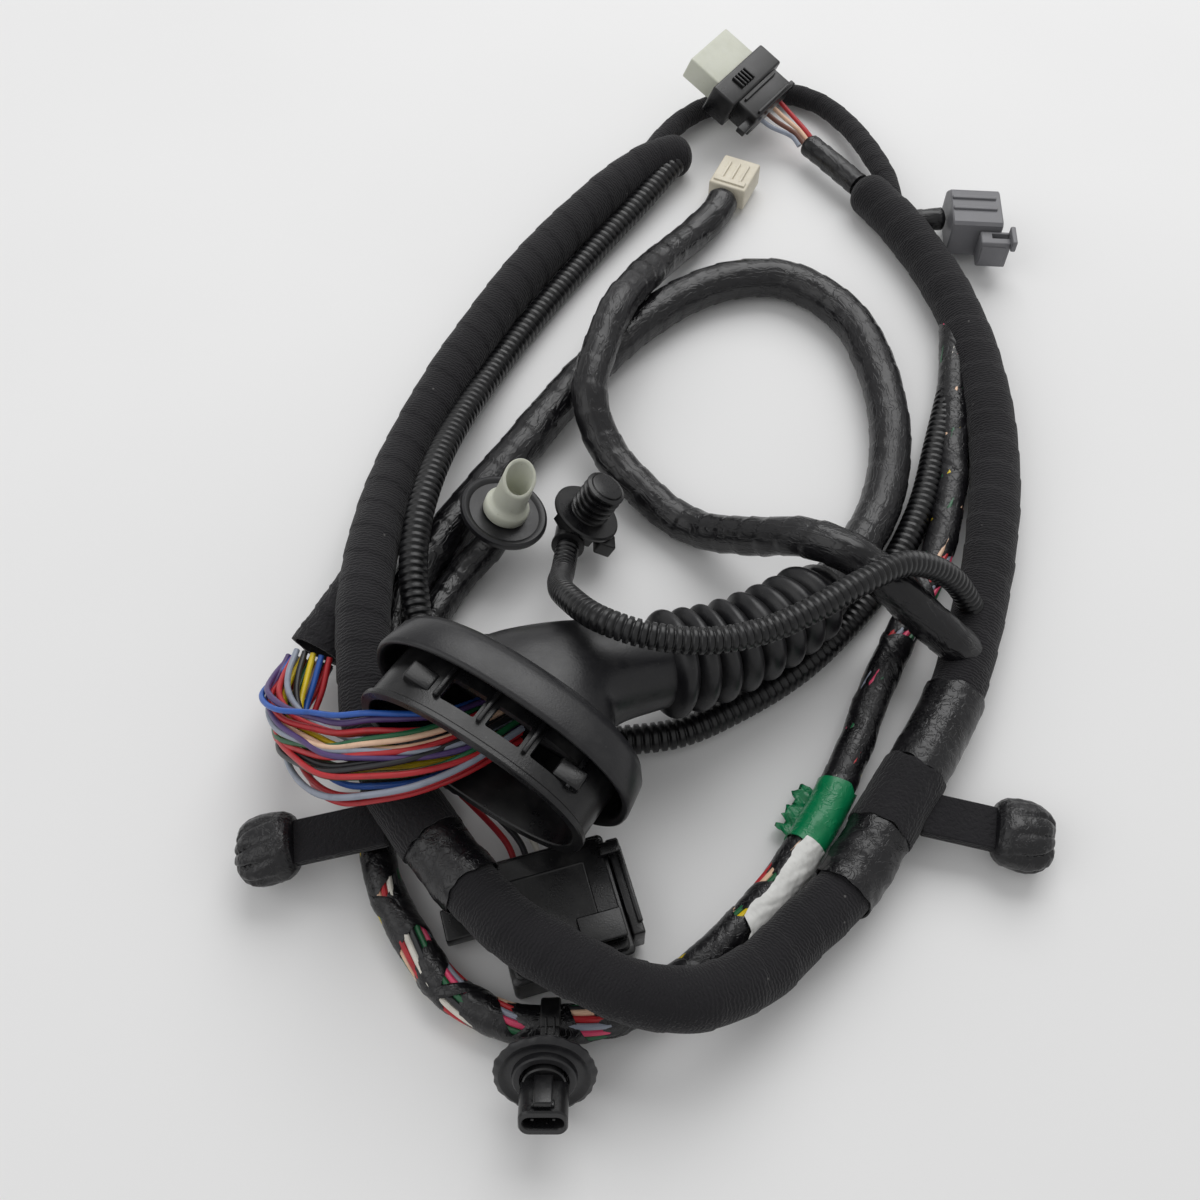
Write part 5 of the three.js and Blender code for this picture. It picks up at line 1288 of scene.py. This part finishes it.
def makeModule():
    w, l, h = module["size"]
    bayWide, bayDeep, bayHigh = module["bay"]
    shell = skin([plateRing(z * mm, (w - 2 * i) * mm, (l - 2 * i) * mm, 1.4 * mm, 5) for z, i in (
        (0, 0.4), (0.4, 0), (h - 1.7, 0), (h - 1.3, 0.35), (h - 1.2, 1), (h - 0.4, 1), (h, 1.4))])
    bay = mmBlock((bayWide, bayDeep + 2, bayHigh), (0, l / 2 - bayDeep / 2 + 1, 6), 0.5)
    sunk = mmBlock((w - 9, l - 14, 1.2), (-1.5, 1, h + 0.2), 0.5)
    parts = [carved(shell, [bay, sunk])]
    for x in np.linspace(-8, 8, 6):
        parts.append(mmBlock((0.9, 7, bayHigh), (x, l / 2 - 6, 6), 0.2))
    # the tab that comes out under the trunk on the left
    parts.append(mmBlock(*module["tab"], 0.5))
    points, faces = joinParts(parts)
    makePiece("module_case", *moveTo((points, faces), moduleMatrix()), "blackPlastic", laid=points,
              node="module_housing", slot="black_plastic")
    long, wide, high = module["latch"]
    x = w / 2 + 0.35
    parts = [mmBlock((long, wide, high), (x + long / 2, 1, high / 2 + 1.5)),
             mmBlock((1.4, 3, 4), (x + 1.6, l / 2 - 5, h - 0.6), 0.3),
             mmBlock((long + 2, 3, 1.4), (w / 2 + 0.6, l / 2 - 5, h + 1.05), 0.3),
             mmBlock((1.2, wide - 5, 1.6), (x + long - 0.5, 1, high + 1.6), 0.3)]
    points, faces = joinParts(parts)
    makePiece("module_rail", *moveTo((points, faces), moduleMatrix()), "blackPlastic", laid=points,
              node="module_latch", slot="black_plastic")
    a, b, c = module["lock"]
    place = (w / 2 - a / 2 - 1.2, -l / 2 + 6.5, h + 0.35 + c / 2)
    body = mmBlock((a, b, c), place, 0.4)
    slot = mmBlock((a - 2.4, 3.4, 1.9), (place[0], place[1] - b / 2, place[2] - 0.1), 0.2)
    points, faces = carved(body, [slot])
    makePiece("module_catch", *moveTo((points, faces), moduleMatrix()), "blackPlastic", laid=points,
              node="module_lock", slot="black_plastic")


def wirePiece(name, route, radius, colour, node=None):
    line = evenLine(smoothLine(np.asarray(route, float)), 0.8 * mm)
    return finishPiece(wireAlong(name, line, radius, colour, 1.0, 0.8), node)


def makeModuleWires():
    matrix = moduleMatrix()
    end = np.array(routes["module"][-1], float)

    def modulePoint(x, y, z):
        return matrix[:3, :3] @ np.array([x, y, z]) * mm + matrix[:3, 3]

    length = module["size"][1]
    for i, colour in enumerate(("red", "black", "white")):
        start = end + np.array([0.5 + 1.5 * (i - 1), -0.4 + 1.5 * (i - 1), 0])
        route = [placeMm(start), placeMm(start + [3, -3, 0.3]),
                 modulePoint(-7.5 + 3 * i, length / 2 + 5, 6.4), modulePoint(-7 + 3 * i, length / 2 - 3, 6)]
        wirePiece(f"module_wire_{i + 1}", route, fanWires["radius"], colour, f"module_wire_{i + 1}")


upper = {"place": (27.5, 150, 16.8), "axis": (0.75, -0.55, -0.36), "across": (0.58, 0.814, -0.03),
         "collar": (9.5, 31, 11), "body": (8.6, 24, 9), "insert": (12.7, 22.5, 8.6), "ribs": 5}


def upperMatrix():
    along = unit(upper["axis"])
    high = unit(np.cross(along, upper["across"]))
    return frameMatrix(placeMm(upper["place"]), along, np.cross(high, along), high)


def makeUpperConnector():
    u = upper
    collar, body, insert = u["collar"], u["body"], u["insert"]
    rear = collar[0] / 2 + body[0]
    parts = [mmBlock(collar, (0, 0, 0), 0.7),
             mmBlock((body[0] + 2, body[1], body[2]), (collar[0] / 2 + body[0] / 2 - 1, 0, 0), 0.6),
             mmBlock((3.2, 7, 2.2), (rear - 1.6, -body[1] / 2 - 3, 1), 0.4),
             mmBlock((2, 3, 3), (rear - 1, body[1] / 2 + 1, 2), 0.4),
             mmBlock((0.9, body[1] - 5, 1), (collar[0] / 2 + 1.2, 0, body[2] / 2 + 0.4), 0.25),
             mmBlock((0.9, body[1] - 5, 1), (rear - 1.2, 0, body[2] / 2 + 0.4), 0.25)]
    for rib in range(u["ribs"]):
        parts.append(mmBlock((5, 0.8, 1.4), (0, -6.5 + rib * 1.7, collar[2] / 2 + 0.3), 0.25))
    points, faces = joinParts(parts)
    makePiece("upper_case", *moveTo((points, faces), upperMatrix()), "blackPlastic", laid=points,
              node="upper_housing", slot="black_plastic")
    seat = -collar[0] / 2 - 2
    length = insert[0] + 4
    x = seat - insert[0] / 2 + 4
    shell = mmBlock((length, insert[1], insert[2]), (x, 0, 0), 0.6)
    mouth = mmBlock((10, insert[1] - 2, insert[2] - 2), (x - length / 2 + 3, 0, 0), 0.4)
    parts = [carved(shell, [mouth])]
    parts.append(mmBlock((6, 0.8, insert[2] - 2), (x - length / 2 + 5, 0, 0), 0.2))
    points, faces = joinParts(parts)
    makePiece("upper_pale_insert", *moveTo((points, faces), upperMatrix()), "palePlastic", laid=points,
              node="upper_insert", slot="pale_plastic")


def makeUpperWires():
    matrix = upperMatrix()
    line = lines["upper"]
    run = runsOf(line)[-1]
    side = unit(np.cross(run, up))
    end = line[-1] + run * 0.35 * mm
    rear = (upper["collar"][0] / 2 + upper["body"][0] + 0.35) * mm
    for i, colour in enumerate(("red", "cream", "brown", "grey")):
        lane = 1.5 - i

        def place(x, spread):
            return matrix[:3, :3] @ np.array([x, lane * spread, 0]) + matrix[:3, 3]

        gathered = end + side * lane * 2 * mm
        lifted = gathered + run * 4 * mm
        lifted[2] = (8.2 + layoutShift[2]) * mm
        route = [place(rear, 4.2 * mm), place(rear + 4 * mm, 3.78 * mm), lifted, gathered]
        wirePiece(f"upper_wire_{i + 1}", route, fanWires["radius"], colour, f"upper_wire_{i + 1}")


greyPlug = {"place": (100.3, 89.5, 10.2), "yaw": -4, "size": (16, 20, 14), "wall": 1.5, "depth": 11,
            "core": (8, 11, 6), "latch": (9.5, 5.6, 10), "chamfer": 4.2}


def makeGreyConnector():
    g = greyPlug
    length, width, height = g["size"]
    matrix = np.array(Matrix.Rotation(math.radians(g["yaw"]), 4, "Z"))
    matrix[:3, 3] = placeMm(g["place"])

    def section(x, inset):
        # looking along X: a rectangle with one corner cut off
        y, z, cut = width / 2 - inset, height / 2 - inset, g["chamfer"] - inset * 0.4
        outline = [(y, -z), (y, z - cut), (y - cut, z), (-y, z), (-y, -z)]
        ring = []
        for (ay, az), (by, bz) in zip(outline, outline[1:] + outline[:1]):
            for t in (0.06, 0.35, 0.65, 0.94):
                ring.append((x, ay + (by - ay) * t, az + (bz - az) * t))
        return np.array(ring) * mm

    half, wall = length / 2, g["wall"]
    rings = [section(-half, 0.4), section(-half + 0.4, 0), section(half - 0.4, 0), section(half, 0.3),
             section(half, wall - 0.3), section(half - 0.4, wall), section(half - g["depth"], wall)]
    parts = [skin(rings)]
    # an inner wall beside the chamfer, the core in the mouth, and guide rails outside
    inner = [section(half - g["depth"], wall + 1.6), section(half - 0.9, wall + 1.6),
             section(half - 0.9, wall + 2.4), section(half - g["depth"], wall + 2.4)]
    parts.append(skin(inner, closed=True))
    core = g["core"]
    parts.append(mmBlock(core, (half - g["depth"] + core[0] / 2, 0, 0), 0.4))
    parts.append(mmBlock((length - 2, 1.4, 1), (-0.6, -3, height / 2 + 0.2), 0.3))
    parts.append(mmBlock((length - 2, 1.4, 1), (-0.6, 2, height / 2 + 0.2), 0.3))
    points, faces = joinParts(parts)
    makePiece("grey_case", *moveTo((points, faces), matrix), "greyPlastic", laid=points,
              node="grey_housing", slot="grey_plastic")
    a, b, c = g["latch"]
    y = -width / 2 - 0.35 - b / 2
    arm = mmBlock((a, b, c), (half - a / 2 + 2.5, y, -0.5), 0.5)
    gap = mmBlock((a - 3, 2.2, c + 2), (half - a / 2 + 4.5, y + 0.6, 0), 0.2)
    parts = [carved(arm, [gap]), mmBlock((1.6, b + 2, 4), (half + 3, y - 0.5, 4.5), 0.4),
             mmBlock((a - 2, 0.7, c - 3), (half - a / 2 + 2, y - b / 2 - 0.1, -0.5), 0.2)]
    points, faces = joinParts(parts)
    makePiece("grey_catch", *moveTo((points, faces), matrix), "greyPlastic", laid=points,
              node="grey_latch", slot="grey_plastic")


creamPlug = {"size": (15, 13, 8), "gap": 0.35}


def makeCreamConnector():
    line = lines["cross"]
    run = runsOf(line)[-1]
    length, width, height = creamPlug["size"]
    m = np.array(Matrix.Rotation(math.atan2(run[1], run[0]), 4, "Z"))
    m[:3, 3] = line[-1]
    start = creamPlug["gap"]
    shell = mmBlock((length, width, height), (start + length / 2, 0, 0), 0.6)
    mouth = mmBlock((7, width - 3, height - 3), (start + length - 2.5, 0, 0), 0.4)
    parts = [carved(shell, [mouth])]
    for y in (-3.2, 0, 3.2):
        parts.append(mmBlock((length * 0.6, 0.9, 1), (start + length / 2, y, height / 2 + 0.2), 0.25))
    parts.append(mmBlock((2, width - 2, 0.8), (start + 2.5, 0, height / 2 + 0.2), 0.2))
    points, faces = joinParts(parts)
    makePiece("cream_case", *moveTo((points, faces), m), "creamPlastic", laid=points,
              node="cream_connector", slot="cream_plastic")


# Its shares of the open branch, and its radius and thickness in mm
greenWrap, greenRadius, greenThick = (0.4665, 0.5175), 4.7, 0.4


def makeGreenTape():
    band = sleeve("open", greenWrap, greenRadius, greenThick, 51, 0.2, 64, 0.5)
    line = lines["open"]
    along = distances(line)
    middle = (greenWrap[0] + greenWrap[1]) / 2 * along[-1]
    centre = np.array([np.interp(middle, along, line[:, i]) for i in range(3)])
    run = unit(np.array([np.interp(middle, along, runsOf(line)[:, i]) for i in range(3)]))
    side = unit(np.cross(up, run))
    matrix = frameMatrix(centre, side, run, np.cross(side, run))
    # the torn end stands out sideways, cockled and ragged along its edge
    x = np.linspace(0, 1, 22)[:, None]
    y = np.linspace(-1, 1, 40)[None, :]
    torn = 6.6 + 2.2 * ripples(y * 9, 0.5, 61, 5)
    out = 2 + x * torn
    curl = 3.8 - 0.5 * x + 1.5 * x**2 * ripples(y * 5, x * 3, 62) + 0.8 * x * np.sin(y * 7)
    length = 7.2 * y + 0.7 * x * ripples(x * 6, y * 3, 63)

    def wall(z):
        return np.stack(np.broadcast_arrays(out, length, curl + z), axis=-1) * mm

    upperSide, under = wall(0.12), wall(-0.12)
    flag = skin(np.concatenate([upperSide, under[:, ::-1]], axis=1))
    flag = (flag[0], [f[::-1] for f in flag[1]])
    points, faces = joinParts([band, moveTo(flag, matrix)])
    makePiece("green_tape_wrap", points, faces, "greenTape", sharp=60, node="green_tape", slot="green_tape")


# A crumpled strip laid along the top of the branch on the trunk's side: share of its length, the
# angle of its middle round the branch in degrees, half its width and its lift off the tape in mm
labelStrip = {
    "span": (0.47, 0.383), "radius": 4.75, "thick": 0.2,
    "rows": [(0, 125, 3.4, 0.1), (0.15, 128, 4.1, 0.5), (0.3, 126, 3.7, 0.35), (0.5, 130, 3.5, 0.3),
             (0.68, 128, 4.1, 0.4), (0.8, 132, 3.9, 0.6), (0.84, 150, 2.2, 0.5), (1, 165, 0.7, 0.2)],
}


def makeLabel():
    strip = labelStrip
    rows = np.array(strip["rows"], float)
    share = np.linspace(0, 1, 90)
    middle, half, lift = (np.interp(share, rows[:, 0], rows[:, i]) for i in (1, 2, 3))
    line = lines["open"]
    along = distances(line)
    wide, high = levelAxes(line)
    place = along[-1] * np.interp(share, (0, 1), strip["span"])
    centre, w, h = (np.column_stack([np.interp(place, along, axis[:, i]) for i in range(3)])
                    for axis in (line, wide, high))
    cross = np.linspace(-1, 1, 19)[None, :]
    edge = 1 + 0.08 * ripples(share[:, None] * 26, cross, 71)
    angle = np.radians(middle)[:, None] + cross * edge * (half / strip["radius"])[:, None]
    crumple = 0.28 * ripples(share[:, None] * 17, cross * 3, 72, 5)
    crumple = crumple + 0.3 * np.abs(ripples(share[:, None] * 9 + cross, cross * 2, 73))

    def wall(offset):
        r = (strip["radius"] + offset + lift[:, None] + crumple) * mm
        return (centre[:, None] + w[:, None] * (r * np.cos(angle))[..., None]
                + h[:, None] * (r * np.sin(angle))[..., None])

    points, faces = skin(np.concatenate([wall(strip["thick"]), wall(0)[:, ::-1]], axis=1))
    makePiece("white_label_wrap", points, faces, "whiteLabel", sharp=60, node="white_label",
              slot="white_label")


makeDisc()
makeDiscClip()
makeBulbHolder()
makePlug()
makeModule()
makeModuleWires()
makeUpperConnector()
makeUpperWires()
makeGreyConnector()
makeCreamConnector()
makeGreenTape()
makeLabel()
print("fittings made")


print("cords made")


# Floor, light and background

def makeFloor():
    material, tree, shader = newMaterial("paintedFloorMatt")
    # matt painted board: pale, with a slow change of tone
    place = addNode(tree, "ShaderNodeTexCoord")
    tone = addNode(tree, "ShaderNodeTexNoise", {"Vector": place.outputs["Object"], "Scale": 6.0,
                   "Detail": 3.0})
    colour = addNode(tree, "ShaderNodeMix", {0: tone.outputs[0], 6: hexColour("#e6e6e6"),
                     7: hexColour("#eeeeee")}, data_type="RGBA")
    tree.links.new(colour.outputs[2], shader.inputs["Base Color"])
    shader.inputs["Roughness"].default_value = 0.8
    mesh = bpy.data.meshes.new("floor")
    mesh.from_pydata([(-4, -4, 0), (4, -4, 0), (4, 4, 0), (-4, 4, 0)], [], [(0, 1, 2, 3)])
    mesh.materials.append(material)
    floor = bpy.data.objects.new("floor", mesh)
    bpy.context.scene.collection.objects.link(floor)


# Big soft lamps in metres and watts: a window behind, and a fill from the left
lamps = {"window": {"place": (0.25, 0.9, 1.1), "size": 1.2, "power": 12.0},
         "fill": {"place": (-0.9, -0.3, 0.9), "size": 1.0, "power": 2.6}}
skyStrength = 0.5


def makeLights():
    for name, lamp in lamps.items():
        data = bpy.data.lights.new(name, "AREA")
        data.shape, data.size, data.energy = "SQUARE", lamp["size"], lamp["power"]
        light = bpy.data.objects.new(name, data)
        light.location = lamp["place"]
        light.rotation_euler = (-Vector(lamp["place"])).to_track_quat("-Z", "Y").to_euler()
        bpy.context.scene.collection.objects.link(light)
    world = bpy.data.worlds.new("softStudio")
    bpy.context.scene.world = world
    world.use_nodes = True
    world.node_tree.nodes["Background"].inputs["Color"].default_value = (1, 1, 1, 1)
    world.node_tree.nodes["Background"].inputs["Strength"].default_value = skyStrength


makeFloor()
makeLights()
bpy.context.scene.view_settings.view_transform = "Standard"
